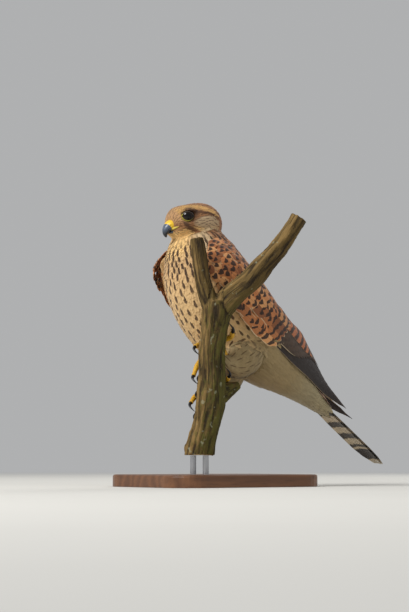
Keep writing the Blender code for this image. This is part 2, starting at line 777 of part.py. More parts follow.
def make_leg(word, body, perch):
    """A thigh with its feathers, the bare tarsus below it, and the foot."""
    leg = LEGS[word]
    foot = make_foot(word, perch)
    hip, heel = np.array(leg["hip"], float), np.array(leg["heel"], float)
    palm = grip_point(leg["palm"], 0, 0, PALM_RADIUS)
    shares = [i / (THIGH_RINGS - 1) for i in range(THIGH_RINGS)]
    end = heel + (palm - heel) * THIGH_REACH
    path = [hip * (1 - t) ** 2 + heel * 2 * t * (1 - t) + end * t**2 for t in shares]
    swell = [smooth(THIGH_SIZES, share) for share in shares]
    thigh = tube("thigh_" + word, path, [s[0] for s in swell], [s[1] for s in swell], THIGH_SIDES, "breast")
    carve(thigh, *[swollen(piece) for piece in body])
    top = path[SHIN_TOP]
    shares = [i / (SHIN_RINGS - 1) for i in range(SHIN_RINGS)]
    shin = [top + (palm - top) * share for share in shares]
    sizes = [TARSUS_RADIUS * (1.25 - 0.25 * math.sin(math.pi * share)) for share in shares]
    tarsus = tube("tarsus_" + word, shin, sizes, sizes, SHIN_SIDES, "cere")
    carve(tarsus, swollen(foot), *[swollen(piece) for piece in (*body, *perch)])
    carve(thigh, swollen(tarsus), *[swollen(piece) for piece in perch])
    return thigh


def make_tail(torso):
    """The sheath of coverts with the twelve tail feathers that come out of it, the middle pair uppermost."""
    sheath = body_loft("tail", SHEATH_ROWS, SHEATH_RINGS, "tail", GAP)
    root, tip = (np.array([0, *at], float) for at in (TAIL_ROOT, TAIL_TIP))
    along = unit(tip - root)
    up = np.array([0, -along[2], along[1]])
    length = np.linalg.norm(tip - root)
    vanes = []
    for i in range(TAIL_FEATHERS):
        side = 1 if i % 2 else -1
        reach = length - TAIL_STEP * i
        spread = side * TAIL_SPREAD * (i + 1) / TAIL_FEATHERS
        start = root + up * (TAIL_LIFT - TAIL_LAYER * i) + np.array([spread * 0.25, 0, 0])
        end = root + along * reach + up * (TAIL_LIFT - TAIL_LAYER * i) + np.array([spread, 0, 0])
        count = len(LONG_SHAPE)
        path = [start + (end - start) * j / (count - 1) for j in range(count)]
        widths = [TAIL_VANE_WIDTH * share for share in LONG_SHAPE]
        across = np.array([1.0, 0, 0])
        vanes.append(vane("rectrix", path, [across] * count, [up] * count, widths, TAIL_VANE_DEPTH, "tail"))
    unite(sheath, vanes)
    return carve(sheath, swollen(torso))


def make_stand():
    """A flat plate with round corners, and two short rods up to the foot of the perch."""
    plate = bmesh.new()
    bmesh.ops.create_cube(plate, size=1)
    for vert in plate.verts:
        vert.co.x = vert.co.x * BASE_WIDTH * MM
        vert.co.y = vert.co.y * BASE_LENGTH * MM
        vert.co.z = (vert.co.z + 0.5) * BASE_HEIGHT * MM
    half = 0.5 * BASE_HEIGHT * MM
    upright = [edge for edge in plate.edges if abs(edge.verts[0].co.z - edge.verts[1].co.z) > half]
    bmesh.ops.bevel(plate, geom=upright, offset=BASE_CORNER * MM, segments=8, affect="EDGES", profile=0.5)
    rim = [edge for edge in plate.edges if all(v.co.z > 0.9 * BASE_HEIGHT * MM for v in edge.verts)]
    bmesh.ops.bevel(plate, geom=rim, offset=BASE_EASE * MM, segments=3, affect="EDGES", profile=0.5)
    mesh = bpy.data.meshes.new("stand_base")
    plate.to_mesh(mesh)
    plate.free()
    mesh.materials.append(material("stand"))
    base = bpy.data.objects.new("stand_base", mesh)
    bpy.context.scene.collection.objects.link(base)
    foot = np.array(TRUNK_STATIONS[0][:3], float)
    for i, offset in enumerate(ROD_OFFSETS):
        low = foot + ROD_LINE * offset
        low[2] = BASE_HEIGHT + GAP
        high = low.copy()
        high[2] = foot[2] - GAP
        tube(f"stand_rod_{i + 1}", [low, high], [ROD_RADIUS] * 2, [ROD_RADIUS] * 2, 24, "steel")


def main():
    for old in list(bpy.data.objects):
        bpy.data.objects.remove(old)
    torso = body_loft("torso", TORSO_ROWS, TORSO_RINGS, "breast", GAP)
    head = make_face()
    carve(torso, swollen(head))
    neck = body_loft("neck", NECK_ROWS, NECK_RINGS, "breast")
    carve(neck, swollen(head), swollen(torso))
    tail = make_tail(torso)
    for word, side in (("left", 1), ("right", -1)):
        make_wing(word, side, torso, neck, tail, head)
    perch = make_perch()
    make_stand()
    legs = []
    for word in LEGS:
        legs.append(make_leg(word, (torso, tail, *legs), perch))
    for made in bpy.data.objects:
        tidy(made)
        made.data.shade_smooth()
        made.data.set_sharp_from_angle(angle=math.radians(FOLD))


main()
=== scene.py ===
"""Looks of a life-size female common kestrel on a cut length of forked branch.

The bird faces -Y and its left side is +X. Shapes are worked out in millimetres, in the frame of the solids.
The feathers lie on one skin. Each keeps its share along and across itself, from which the material draws
its marks.
"""

import math
from functools import partial

import bpy
import numpy as np
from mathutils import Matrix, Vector, noise
from mathutils.bvhtree import BVHTree
from mathutils.kdtree import KDTree


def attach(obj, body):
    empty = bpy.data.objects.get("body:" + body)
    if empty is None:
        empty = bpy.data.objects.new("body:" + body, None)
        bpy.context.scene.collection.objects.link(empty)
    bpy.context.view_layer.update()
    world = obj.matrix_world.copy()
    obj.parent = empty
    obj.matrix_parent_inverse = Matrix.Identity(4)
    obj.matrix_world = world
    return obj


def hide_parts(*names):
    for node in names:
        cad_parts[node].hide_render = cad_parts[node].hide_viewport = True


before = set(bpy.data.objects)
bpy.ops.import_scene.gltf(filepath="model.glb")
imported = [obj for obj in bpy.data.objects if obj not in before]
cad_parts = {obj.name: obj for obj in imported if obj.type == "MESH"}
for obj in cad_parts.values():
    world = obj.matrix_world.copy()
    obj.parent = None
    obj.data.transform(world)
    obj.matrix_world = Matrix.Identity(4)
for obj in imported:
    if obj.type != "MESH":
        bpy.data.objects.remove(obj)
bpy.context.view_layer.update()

MM = 0.001
RNG = np.random.default_rng(11)

# Sizes shared with the CAD solids, in millimetres and degrees.
# The body: its middle's y and z, its half width, and its depth to the back and to the breast.
BODY_STATIONS = (
    (-26, 221, 14, 14, 13), (-22, 213.5, 19.5, 18, 25), (-18, 206, 24, 22.5, 33), (-12, 193, 32, 27, 38.5),
    (-5, 177, 36, 33, 42.5), (6, 158, 37, 36, 43.5), (24, 138, 36, 33, 41), (48, 117, 30, 28, 32),
    (74, 100, 20, 18, 21.5), (97, 84, 14, 10.5, 13), (119, 67, 9, 4.5, 5), (127, 60.5, 5, 2.5, 3),
)
TAIL_TIP = (187.5, 16.5)
TAIL_ROOT = (84, 92)

# The head: how far forward, its middle's rise, its half width, and its height above and below that.
HEAD_CENTRE = (0, -28, 223.5)
HEAD_TURN = -4
HEAD_NOD = 12
HEAD_STATIONS = (
    (-28.5, -4, 4, 4, 4), (-26.0, -4, 11, 10.5, 11), (-18.5, -3, 17.0, 15.6, 16.5),
    (-8, -2, 19.2, 16.8, 17.5), (1, -2, 19.0, 16.8, 16.5), (8, -2, 17.5, 16.6, 14.6),
    (13.0, -2.3, 15.4, 15.6, 12.0), (16.4, -3.0, 12.4, 13.0, 9.0), (18.4, -3.6, 7.0, 8.6, 5.6),
)
EYE_RADIUS = 6.1
EYE_PLACE = (11.9, 7.0, 3.4)
EYE_FORWARD = 27
BROW_SIZE = (2.3, 6.3, 1.8)
BROW_PLACE = (14.6, 7.4, 8.0)
BROW_LEAN = 20

# The bill's upper and lower halves: how far forward, the rise, and the half sizes across and up.
BILL_STATIONS = (
    (12.0, -2.6, 6.0, 4.6), (16.8, -2.4, 5.2, 4.3), (20.4, -3.4, 4.0, 3.7), (23.0, -5.8, 2.7, 2.7),
    (24.2, -8.8, 1.5, 1.6), (23.9, -11.6, 0.4, 0.5),
)
CERE_SHARE = 0.46
NOSTRIL_PLACE = (4.4, 19.8, -2.5)
LOWER_BILL_STATIONS = (
    (11.5, -8.4, 4.6, 2.0), (16.5, -8.7, 3.8, 1.9), (20.2, -9.1, 2.6, 1.5), (22.2, -9.1, 1.2, 0.7),
)

# The branch: points along the middle of each length, with its radius there.
TRUNK_STATIONS = (
    (22.0, -31.4, 26.0, 12.0), (24.2, -30.2, 38.0, 11.6), (27.4, -27.7, 52.0, 11.5),
    (30.8, -26.4, 71.0, 12.2), (32.6, -26.8, 84.0, 11.5), (34.1, -27.4, 98.0, 10.6),
    (36.6, -28.8, 113.0, 10.6), (40.7, -29.4, 129.0, 11.2), (44.6, -30.4, 144.0, 12.4),
    (46.4, -31.4, 153.0, 10.6),
)
STUB_STATIONS = (
    (44.0, -34.0, 146.0, 8.5), (42.2, -39.8, 160.0, 7.0), (41.4, -43.4, 178.0, 6.2),
    (41.0, -46.4, 195.0, 6.0), (40.8, -47.6, 202.5, 5.2),
)
LIMB_STATIONS = (
    (44.0, -30.0, 141.0, 10.5), (54.5, -21.0, 156.0, 10.0), (66.4, -11.0, 168.4, 9.4),
    (74.0, -3.6, 180.4, 8.4), (81.6, 4.4, 192.5, 7.6), (90.0, 12.6, 208.5, 7.3), (94.5, 17.0, 218.5, 7.2),
)
SIDE_STUB_STATIONS = (
    (30.0, -26.5, 72.0, 11.0), (31.0, -17.0, 76.5, 9.0), (32.4, -7.0, 81.0, 5.6), (33.1, 0.5, 83.4, 3.4),
)
KNOB_PLACE = (17.0, -38.0, 31.5)

# The left wing folded: points along its lower edge, its middle and its upper edge, from the bend to the tip.
WING_LOWER = (
    (34, -37, 182), (40, -27, 167), (41, -11, 149), (40, 6, 134), (36, 22, 123), (30, 41, 112),
    (24, 62, 100), (19, 82, 90), (13, 106, 78), (9, 126, 70.5), (6.5, 140, 66.5),
)
WING_MIDDLE = (
    (34, -32, 193), (40, -15, 188), (43, 3, 175), (43, 22, 158), (39, 39, 144), (32, 55, 132),
    (24, 73, 119), (18, 88, 107), (12, 109, 89), (9, 127, 77), (7, 139.5, 68.5),
)
WING_UPPER = (
    (25, -24, 206), (22, -3, 204), (20, 16, 189.5), (18, 32.5, 171.5), (15, 47.5, 154), (12, 66, 142),
    (8, 84.5, 135.5), (6, 96.5, 121.5), (5, 114, 97.5), (5, 128, 82), (5.5, 138, 71),
)
RIGHT_TIP_SHIFT = (-5.5, 15.0, -9.0)
RIGHT_BEND_SHIFT = (2.0, -3.0, 1.0)

# The legs. A palm is a height on the trunk.
# A toe ends so many degrees round the trunk from its palm, and so far above it.
LEGS = {
    "left": {"hip": (17, 26, 117), "heel": (24, -4, 96), "palm": 120.0},
    "right": {"hip": (-9, 28, 113), "heel": (4, -2, 78), "palm": 86.0},
}
THIGH_SIZES = ((15, 17), (16, 18), (14.5, 16.5), (10.5, 12), (7, 7.5), (4, 4.2))
THIGH_REACH = 0.5
PALM_WAY = 122
PALM_RADIUS = 3.2
TARSUS_RADIUS = 2.1
TOE_RADIUS = 2.2
TOE_BULGE = 3.2
CLAW_RADIUS = 1.35
CLAW_BULGE = 2.0
CLAW_REACH = 34
CLAW_DROP = 7.5
TOES = {
    "left": {"outer": (100, -5.0), "middle": (106, -29.0), "inner": (58, -27.0), "hind": (-66, 6.0)},
    "right": {"inner": (60, -6.0), "middle": (104, -17.0), "outer": (56, -24.0), "hind": (-46, 4.0)},
}


def unit(v):
    """The arrows with their length made one."""
    return v / np.maximum(np.linalg.norm(v, axis=-1, keepdims=True), 1e-12)


def step(low, high, x):
    """Goes smoothly from 0 at low to 1 at high."""
    t = np.clip((np.asarray(x, float) - low) / (high - low), 0, 1)
    return t * t * (3 - 2 * t)


def mix(a, b, share):
    """The first value, with the second in its place by the share."""
    share = np.asarray(share, float)[..., None]
    return np.asarray(a, float) * (1 - share) + np.asarray(b, float) * share


def colour(red, green, blue):
    """A linear colour from the usual 0 to 255 values."""
    c = np.array([red, green, blue], float) / 255
    return np.where(c <= 0.04045, c / 12.92, ((c + 0.055) / 1.055) ** 2.4)


def smooth(rows, share):
    """Points on the smooth curve through the rows, at these shares of the way along."""
    rows = np.asarray(rows, float)
    slopes = np.gradient(rows, axis=0)
    at = np.clip(np.asarray(share, float), 0, 1) * (len(rows) - 1)
    i = np.minimum(at.astype(int), len(rows) - 2)
    t = (at - i)[..., None]
    a = 2 * t**3 - 3 * t**2 + 1
    b = t**3 - 2 * t**2 + t
    return a * rows[i] + b * slopes[i] + (1 - a) * rows[i + 1] + (t**3 - t**2) * slopes[i + 1]


# Colours.
BUFF = colour(216, 180, 128)
CREAM = colour(228, 208, 168)
# Painted shade: the next two are buff and cream made darker and greyer, for the belly and under the tail.
SHADE_BUFF = colour(152, 132, 94)
VENT_WITH_PAINTED_SHADE = colour(158, 145, 114)
THROAT = colour(228, 188, 124)
GOLD = colour(204, 160, 98)
TAN = colour(190, 148, 104)
CROWN = colour(150, 106, 70)
NAPE = colour(158, 112, 76)
CHIN = colour(230, 186, 120)
NECK = colour(206, 178, 138)
CHEEK = colour(190, 164, 130)
RUFOUS = colour(190, 120, 70)
RUFOUS_DEEP = colour(138, 84, 50)
RUFOUS_PALE = colour(216, 156, 100)
REDDISH = colour(128, 78, 50)
RUMP = colour(150, 104, 74)
UMBER = colour(82, 56, 40)
DARK = colour(44, 30, 24)
# The thigh's buff, made darker by painted shade.
THIGH_WITH_PAINTED_SHADE = colour(170, 149, 110)
PRIMARY = colour(42, 34, 31)
SECONDARY = colour(76, 58, 44)
TERTIAL = colour(174, 102, 60)
PALE = colour(196, 170, 136)
WHITISH = colour(226, 216, 198)
TAIL_TONE = colour(208, 188, 156)
TAIL_INK = colour(46, 34, 26)
BILL_GREY = colour(86, 96, 112)
# A painted highlight on the bill's top.
BILL_PAINTED_HIGHLIGHT = colour(146, 158, 172)
BILL_TIP = colour(26, 28, 34)
CERE_YELLOW = colour(232, 190, 44)
# Painted shade inside the nostrils.
NOSTRIL_PAINTED_SHADE = colour(92, 52, 16)
GAPE = colour(206, 186, 78)
PUPIL = colour(8, 6, 6)
IRIS = colour(30, 18, 13)
LID_YELLOW = colour(160, 148, 52)
# Painted shadow for the eyes' lid rings.
LID_PAINTED_SHADOW = colour(50, 38, 28)
LEG_YELLOW = colour(226, 176, 44)
LEG_SHADE = colour(198, 140, 34)
LEG_DARK = colour(120, 78, 22)
CLAW = colour(24, 22, 24)
BARK = colour(94, 76, 44)
# Pale bark, also used as painted light on the side facing the light.
BARK_PALE_AND_PAINTED_LIGHT = colour(134, 108, 66)
# The cracks' dark: partly their own bark, partly painted shade.
BARK_CRACK_AND_PAINTED_SHADE = colour(42, 34, 27)
MOSS = colour(84, 84, 38)
LICHEN = colour(164, 166, 140)
SAWN = colour(190, 160, 116)
WOOD_DARK = colour(84, 52, 32)
WOOD_LIGHT = colour(126, 84, 54)
WOOD_PORE = colour(52, 32, 20)
STEEL_DARK = colour(160, 162, 166)
STEEL_LIGHT = colour(204, 206, 210)

# How deep the skin lies inside the feathers' outer shape, and how fine each fused skin is.
BODY_COAT = 1.3
HEAD_COAT = 0.9
THIGH_COAT = 1.1
WING_COAT = 1.4
SKIN_VOXEL = 1.1
FOOT_VOXEL = 0.4
PERCH_VOXEL = 0.9
THIGH_LEAST = 1.8

# The folded arm inside the wing: how thick it is, how far it goes, and how deep the feathers' roots sink.
WING_DEPTH = 9.0
WING_TIP_DEPTH = 1.6
WING_TAPER_SHARE = 0.7
WING_FLESH_END = 0.52
WING_SUNK = 1.2
WING_LENGTH = 225
COVERT_ROWS = 12

# The tail's feathers lie in one stack, each a little shorter and lower than the one over it.
TAIL_FEATHERS = 12
TAIL_STEP = 0.6
TAIL_SPREAD = 3.5
TAIL_LIFT = 2.2
TAIL_LAYER = 0.3
TAIL_VANE_WIDTH = 14.6
TAIL_ROOF = 0.016

# How many places are tried, on which length of each surface, and how many feathers one piece may have.
HEAD_TRIES = 80000
BODY_TRIES = 112000
THIGH_TRIES = 14000
BARE_TRIES = 60000
MANTLE_TRIES = 16000
HEAD_SPAN = (0.03, 0.995)
BODY_SPAN = (0.1, 9.5)
THIGH_SPAN = (0.02, 0.97)
MANTLE_SPAN = (2.1, 9.3)
MANTLE_TURN = (-1.75, 1.75)
MOST_IN_PIECE = 2700

# A small feather grows no deeper in the skin, no nearer to an eye's centre, and with its tip no freer.
# One that is narrower than the last number has fewer points.
DEEPEST = -3.0
EYE_CLEAR = 6.2
FREE_TIP = 1.2
FINE_WIDTH = 2.6

# Bare places lie at least this far from the smooth surfaces. Above this rise they belong to the head.
BARE_GAP = 0.9
HEAD_RISE = -14
ARM_REACH = 0.3
ARM_FAR = 11

# A feather keeps this far above the bark, in the perch's neighbourhood.
BARK_GAP = 1.0
BARK_NEAR = 14

# Shares along a vane and how wide it is there. The first is for the small feathers of head and body.
SMALL_VANE = ((0, 0.25, 0.6, 0.85, 1), (0.5, 0.88, 1.0, 0.86, 0.5))
LONG_VANE = ((0, 0.12, 0.5, 0.8, 0.93, 1), (0.55, 0.8, 1.0, 0.95, 0.7, 0.35))
FLIGHT_VANE = ((0, 0.1, 0.45, 0.75, 0.92, 1), (0.6, 0.85, 1.0, 0.85, 0.5, 0.16))
ROUND_VANE = ((0, 0.15, 0.5, 0.78, 0.92, 1), (0.5, 0.8, 1.0, 0.96, 0.75, 0.45))
SMALL_SUNK = 0.35
MANTLE_SUNK = 0.6
BARB_STEP = 0.5

# Lines on the side of the head, as forward and rise: the pale brow, the dark eye line and the moustache.
BROW_LINE = ((14, 8.0), (8, 11.4), (-0.6, 9.7), (-8.5, 6.2), (-13, 4.3))
EYE_LINE = ((8.0, 8.0), (4, 7.6), (1.7, 5.4), (-13.3, 1.2))
MOUSTACHE_LINE = ((14.0, -2.0), (12.0, -5.6), (6.0, -9.6), (2.6, -14.5))

# The bark's ridges and lumps, the bill's shift and its tooth, and the half sizes of the eyes' openings.
BARK_RIDGE = 0.035
BARK_LUMP = 0.03
BILL_RAISE = 1.0
LOWER_BILL_SHIFT = (0, 0.6, 1.1)
TOOTH_SHARE = 0.66
LID_LONG = 4.3
LID_HIGH = 3.3
LID_LOW = 3.5

# The angles from which a fold stays sharp.
CRISP_FOLD = 50
USUAL_FOLD = 60
BARK_FOLD = 70
SKIN_FOLD = 80

# The unwrap: how sharp a fold parts it, the room between its islands, and each vane's patch on it.
UNWRAP_ANGLE = 66
ISLAND_MARGIN = 0.003
PATCH = 0.003

SIDES = (("left", 1), ("right", -1))
ALL_ROUND = (-math.pi, math.pi)
X_WAY = np.array([1.0, 0, 0])

# Ways from which the rings round a toe and round a bough are turned.
TOE_WAY = (0.1, 0.2, 1)
BOUGH_WAY = (0.3, 1, 0)

# The camera looks at the bird's left side from the front, a little from below.
CAMERA_PLACE = (1029.5, -731.8, 20.2)
CAMERA_TARGET = (-5.15, -7.35, 153.0)
CAMERA_LENS = 87.4
CAMERA_RIGHT = np.array([0.574, 0.819, 0.0])

# The studio: each lamp's name, place and size in metres, and its power. Floor and air share one pale grey.
LIGHTS = (
    ("key", (0.1, -1.35, 1.25), 0.8, 26.0),
    ("fill", (1.35, 0.45, 0.7), 1.2, 1.6),
    ("rim", (-0.5, 1.2, 1.1), 0.8, 8.0),
)
WORLD_STRENGTH = 0.5
WORLD_TONE = (0.86, 0.87, 0.88, 1)
FLOOR_DARK = colour(206, 204, 198)
FLOOR_LIGHT = colour(214, 212, 206)
FLOOR_RADIUS = 12.0
FLOOR_DROP = 0.0002
FLOOR_FADE = (0.5, 2.2)


def head_matrix():
    """Turns a point of the upright head to where the head looks."""
    turn, nod = math.radians(HEAD_TURN), math.radians(HEAD_NOD)
    about_z = np.array([[math.cos(turn), -math.sin(turn), 0], [math.sin(turn), math.cos(turn), 0], [0, 0, 1]])
    about_x = np.array([[1, 0, 0], [0, math.cos(nod), -math.sin(nod)], [0, math.sin(nod), math.cos(nod)]])
    return about_z @ about_x


HEAD = head_matrix()


def on_head(across, forward, rise):
    """Points by their place across, forward and up from the head's centre."""
    at = np.stack(np.broadcast_arrays(np.asarray(across, float), -np.asarray(forward, float), rise), -1)
    return np.array(HEAD_CENTRE, float) + at @ HEAD.T


def to_head(points):
    """Across, forward and rise of points from the head's centre."""
    at = (points - np.array(HEAD_CENTRE, float)) @ HEAD
    return at[..., 0], -at[..., 1], at[..., 2]


def head_surface(share, turn, inset=HEAD_COAT):
    """Points on the head, from its back at 0 to the bill's root at 1."""
    forward, middle, width, above, below = np.moveaxis(smooth(HEAD_STATIONS, share), -1, 0)
    height = np.cos(turn)
    tall = np.where(height > 0, above, below) - inset
    return on_head((width - inset) * np.sin(turn), forward, middle + height * tall)


def body_frame(row):
    """The body's middle at a station, the ways along it and out of its back, and its three sizes."""
    last = len(BODY_STATIONS) - 1
    y, z, width, back, front = np.moveaxis(smooth(BODY_STATIONS, row / last), -1, 0)
    ahead = smooth(BODY_STATIONS, (row + 0.1) / last) - smooth(BODY_STATIONS, (row - 0.1) / last)
    none = np.zeros_like(y)
    along = unit(np.stack([none, ahead[..., 0], ahead[..., 1]], -1))
    dorsal = np.stack([none, -along[..., 2], along[..., 1]], -1)
    return np.stack([none, y, z], -1), along, dorsal, width, back, front


def body_surface(row, turn, inset=BODY_COAT):
    """Points on the body, from the neck at 0 down to the tail's root. Turn 0 is the back."""
    middle, _, dorsal, width, back, front = body_frame(row)
    height = np.cos(turn)
    tall = np.maximum(np.where(height > 0, back, front) - inset, 0.5)
    wide = np.maximum(width - inset, 0.5)
    return middle + dorsal * (height * tall)[..., None] + X_WAY * (wide * np.sin(turn))[..., None]


def wing_edge(rows, share, side):
    """Points on one of the wing's long edges. The right wing's tip and bend lie a little otherwise."""
    at = smooth(rows, share)
    if side < 0:
        s = np.asarray(share, float)[..., None]
        at = at + np.array(RIGHT_TIP_SHIFT) * s**5 + np.array(RIGHT_BEND_SHIFT) * np.maximum(0, 1 - 4 * s)
    return at * np.array([side, 1, 1])


def wing_sheet(share, height, side):
    """Points of the wing's sheet, with the ways along it, up across it and out of it."""
    share, height = np.broadcast_arrays(np.asarray(share, float), np.asarray(height, float))
    low, middle, high = (wing_edge(rows, share, side) for rows in (WING_LOWER, WING_MIDDLE, WING_UPPER))
    t = height[..., None]
    point = low * (1 - t) * (1 - 2 * t) + middle * 4 * t * (1 - t) + high * t * (2 * t - 1)
    rise = low * (4 * t - 3) + middle * (4 - 8 * t) + high * (4 * t - 1)
    along = unit(wing_edge(WING_MIDDLE, share + 0.03, side) - wing_edge(WING_MIDDLE, share - 0.03, side))
    out = unit(np.cross(along, rise)) * side
    over = np.maximum(share - 1, 0)[..., None] * WING_LENGTH
    return point + along * over, along, rise, out


def thigh_path(word, share):
    """The leg's middle line, from the hip past the heel towards the palm."""
    leg = LEGS[word]
    hip, heel = np.array(leg["hip"], float), np.array(leg["heel"], float)
    palm = grip_point(leg["palm"], 0, 0, PALM_RADIUS)
    end = heel + (palm - heel) * THIGH_REACH
    t = np.asarray(share, float)[..., None]
    return hip * (1 - t) ** 2 + heel * 2 * t * (1 - t) + end * t**2


def trunk_at(z):
    """The trunk's middle and its radius at these heights."""
    rows = np.array(TRUNK_STATIONS, float)
    x, y, radius = (np.interp(z, rows[:, 2], rows[:, i]) for i in (0, 1, 3))
    return np.stack([x, y, np.asarray(z, float)], -1), radius


def grip_point(palm_height, degrees, rise, off):
    """Points beside the trunk: degrees round it from the palm's way, rise from the palm, off its bark."""
    degrees, rise, off = np.broadcast_arrays(*(np.asarray(n, float) for n in (degrees, rise, off)))
    centre, radius = trunk_at(palm_height + rise)
    way = np.radians(PALM_WAY + degrees)
    out = np.stack([np.cos(way), np.sin(way), 0 * way], -1)
    return centre + out * (radius + off)[..., None]


def tube_rings(path, widths, heights, sides, side_way=(1, 0, 0), section=None):
    """Rings across a path. Their widths lie along side_way, and section swells them by turn and place."""
    path = np.asarray(path, float)
    along = unit(np.gradient(path, axis=0))
    side = np.broadcast_to(np.asarray(side_way, float), path.shape)
    side = unit(side - along * (side * along).sum(-1, keepdims=True))
    rise = np.cross(side, along)
    turn = np.linspace(0, 2 * math.pi, sides, endpoint=False)
    swell = np.ones((len(path), sides)) if section is None else section
    across = (np.asarray(widths, float)[:, None] * np.sin(turn) * swell)[..., None]
    up = (np.asarray(heights, float)[:, None] * np.cos(turn) * swell)[..., None]
    return path[:, None] + side[:, None] * across + rise[:, None] * up


def loft_faces(rings, sides):
    """The faces between each ring of points and the next."""
    i, j = np.meshgrid(np.arange(rings - 1) * sides, np.arange(sides), indexing="ij")
    k = (j + 1) % sides
    return np.stack([i + j, i + k, i + sides + k, i + sides + j], -1).reshape(-1, 4)


def loft(name, rings):
    """A closed skin over rings of points, with a fan over each end."""
    count, sides = rings.shape[:2]
    points = np.concatenate([rings.reshape(-1, 3), rings[[0, -1]].mean(axis=1)])
    j = np.arange(sides)
    k = (j + 1) % sides
    first = np.stack([k, j, np.full(sides, count * sides)], -1)
    last = np.stack([j, k, np.full(sides, count * sides + 1 - sides * (count - 1))], -1) + sides * (count - 1)
    return piece(name, points, loft_faces(count, sides), np.concatenate([first, last]))


def linked(name, data):
    """A new object in the scene."""
    made = bpy.data.objects.new(name, data)
    bpy.context.scene.collection.objects.link(made)
    return made


def piece(name, points, *groups):
    """An object from points in millimetres and arrays of faces."""
    mesh = bpy.data.meshes.new(name)
    mesh.vertices.add(len(points))
    mesh.vertices.foreach_set("co", (np.asarray(points) * MM).astype(np.float32).ravel())
    corners = np.concatenate([group.ravel() for group in groups])
    sizes = np.concatenate([np.full(len(group), group.shape[1]) for group in groups])
    mesh.loops.add(len(corners))
    mesh.loops.foreach_set("vertex_index", corners.astype(np.int32))
    mesh.polygons.add(len(sizes))
    mesh.polygons.foreach_set("loop_start", (np.cumsum(sizes) - sizes).astype(np.int32))
    mesh.update(calc_edges=True)
    mesh.validate()
    return linked(name, mesh)


def flat_values(items, key, width, kind=np.float32):
    """One row of values for each of a mesh's items."""
    flat = np.empty(len(items) * width, kind)
    items.foreach_get(key, flat)
    return flat.reshape(-1, width)


def points_of(made):
    """The object's points, in millimetres."""
    return flat_values(made.data.vertices, "co", 3).astype(float) / MM


def normals_of(made):
    """The outward way at each of the object's points."""
    return flat_values(made.data.vertices, "normal", 3).astype(float)


def move_points(made, points):
    """Puts the object's points at these places."""
    made.data.vertices.foreach_set("co", (points * MM).astype(np.float32).ravel())
    made.data.update()


def evaluated(made):
    """Applies the object's modifiers."""
    graph = bpy.context.evaluated_depsgraph_get()
    mesh = bpy.data.meshes.new_from_object(made.evaluated_get(graph))
    old = made.data
    made.modifiers.clear()
    made.data = mesh
    bpy.data.meshes.remove(old)


def chosen_only(parts):
    """Selects these objects alone, and makes the first the active one."""
    bpy.ops.object.select_all(action="DESELECT")
    for part in parts:
        part.select_set(True)
    bpy.context.view_layer.objects.active = parts[0]


def joined(name, parts):
    """One object from several."""
    chosen_only(parts)
    bpy.ops.object.join()
    parts[0].name = name
    parts[0].data.name = name
    return parts[0]


def fused(name, parts, voxel, rounds):
    """One closed skin over overlapping closed pieces, relaxed a few times."""
    made = joined(name, parts)
    remesh = made.modifiers.new("remesh", "REMESH")
    remesh.mode = "VOXEL"
    remesh.voxel_size = voxel * MM
    relax = made.modifiers.new("relax", "SMOOTH")
    relax.factor = 0.5
    relax.iterations = rounds
    evaluated(made)
    return made


def attribute(made, name, kind, values):
    """Stores values at the object's points."""
    layer = made.data.attributes.new(name, kind, "POINT")
    key = {"FLOAT_VECTOR": "vector", "FLOAT_COLOR": "color"}[kind]
    layer.data.foreach_set(key, np.asarray(values, np.float32).ravel())


def tinted(made, tones):
    """Stores a colour at each point of the piece."""
    count = len(made.data.vertices)
    solid = np.concatenate([np.broadcast_to(tones, (count, 3)), np.ones((count, 1))], -1)
    attribute(made, "tone", "FLOAT_COLOR", solid)


def unwrapped(made):
    """Gives the piece an unwrap of its own shape."""
    chosen_only([made])
    while made.data.uv_layers:
        made.data.uv_layers.remove(made.data.uv_layers[0])
    made.data.uv_layers.new(name="OFBake")
    bpy.ops.object.mode_set(mode="EDIT")
    bpy.ops.mesh.select_all(action="SELECT")
    bpy.ops.uv.smart_project(angle_limit=math.radians(UNWRAP_ANGLE), island_margin=ISLAND_MARGIN)
    bpy.ops.object.mode_set(mode="OBJECT")


def dressed(made, material, slot, fold=USUAL_FOLD):
    """Gives the piece its material, smooth faces with sharp folds, and its body. Its slot is not used."""
    made.data.materials.clear()
    made.data.materials.append(material)
    made.data.shade_smooth()
    made.data.set_sharp_from_angle(angle=math.radians(fold))
    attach(made, "root")
    return made


def tree_of(points):
    """A tree that finds the points near a place."""
    tree = KDTree(len(points))
    for i, point in enumerate(points):
        tree.insert(point, i)
    tree.balance()
    return tree


def thinned(points, gaps):
    """Which of the points to keep so that no two stand closer than their gap."""
    tree = tree_of(points)
    free = np.ones(len(points), bool)
    kept = []
    for i in RNG.permutation(len(points)):
        if free[i]:
            kept.append(i)
            for _, near, _ in tree.find_range(points[i], gaps[i]):
                free[near] = False
    return np.array(kept, int)


def nearest(tree_points, points):
    """The index of the nearest of tree_points for each point."""
    tree = tree_of(tree_points)
    return np.array([tree.find(point)[1] for point in points], int)


def scattered(surface, rows, turns, shape, count):
    """Random places spread evenly by area over a surface: their two numbers, and the points."""
    a = np.linspace(*rows, shape[0] + 1)
    b = np.linspace(*turns, shape[1] + 1)
    grid = surface(*np.meshgrid(a, b, indexing="ij"))
    one, two = grid[1:, :-1] - grid[:-1, :-1], grid[:-1, 1:] - grid[:-1, :-1]
    area = np.linalg.norm(np.cross(one, two), axis=-1).ravel()
    cell = RNG.choice(len(area), count, p=area / area.sum())
    i, j = np.divmod(cell, shape[1])
    row = a[i] + (a[1] - a[0]) * RNG.random(count)
    turn = b[j] + (b[1] - b[0]) * RNG.random(count)
    return row, turn, surface(row, turn)


def on_polyline(x, y, corners):
    """How far points lie from a line of several straight parts."""
    best = np.full(np.shape(x), 1e9)
    for (ax, ay), (bx, by) in zip(corners, corners[1:]):
        dx, dy = bx - ax, by - ay
        t = np.clip(((x - ax) * dx + (y - ay) * dy) / (dx * dx + dy * dy), 0, 1)
        best = np.minimum(best, np.hypot(x - ax - t * dx, y - ay - t * dy))
    return best


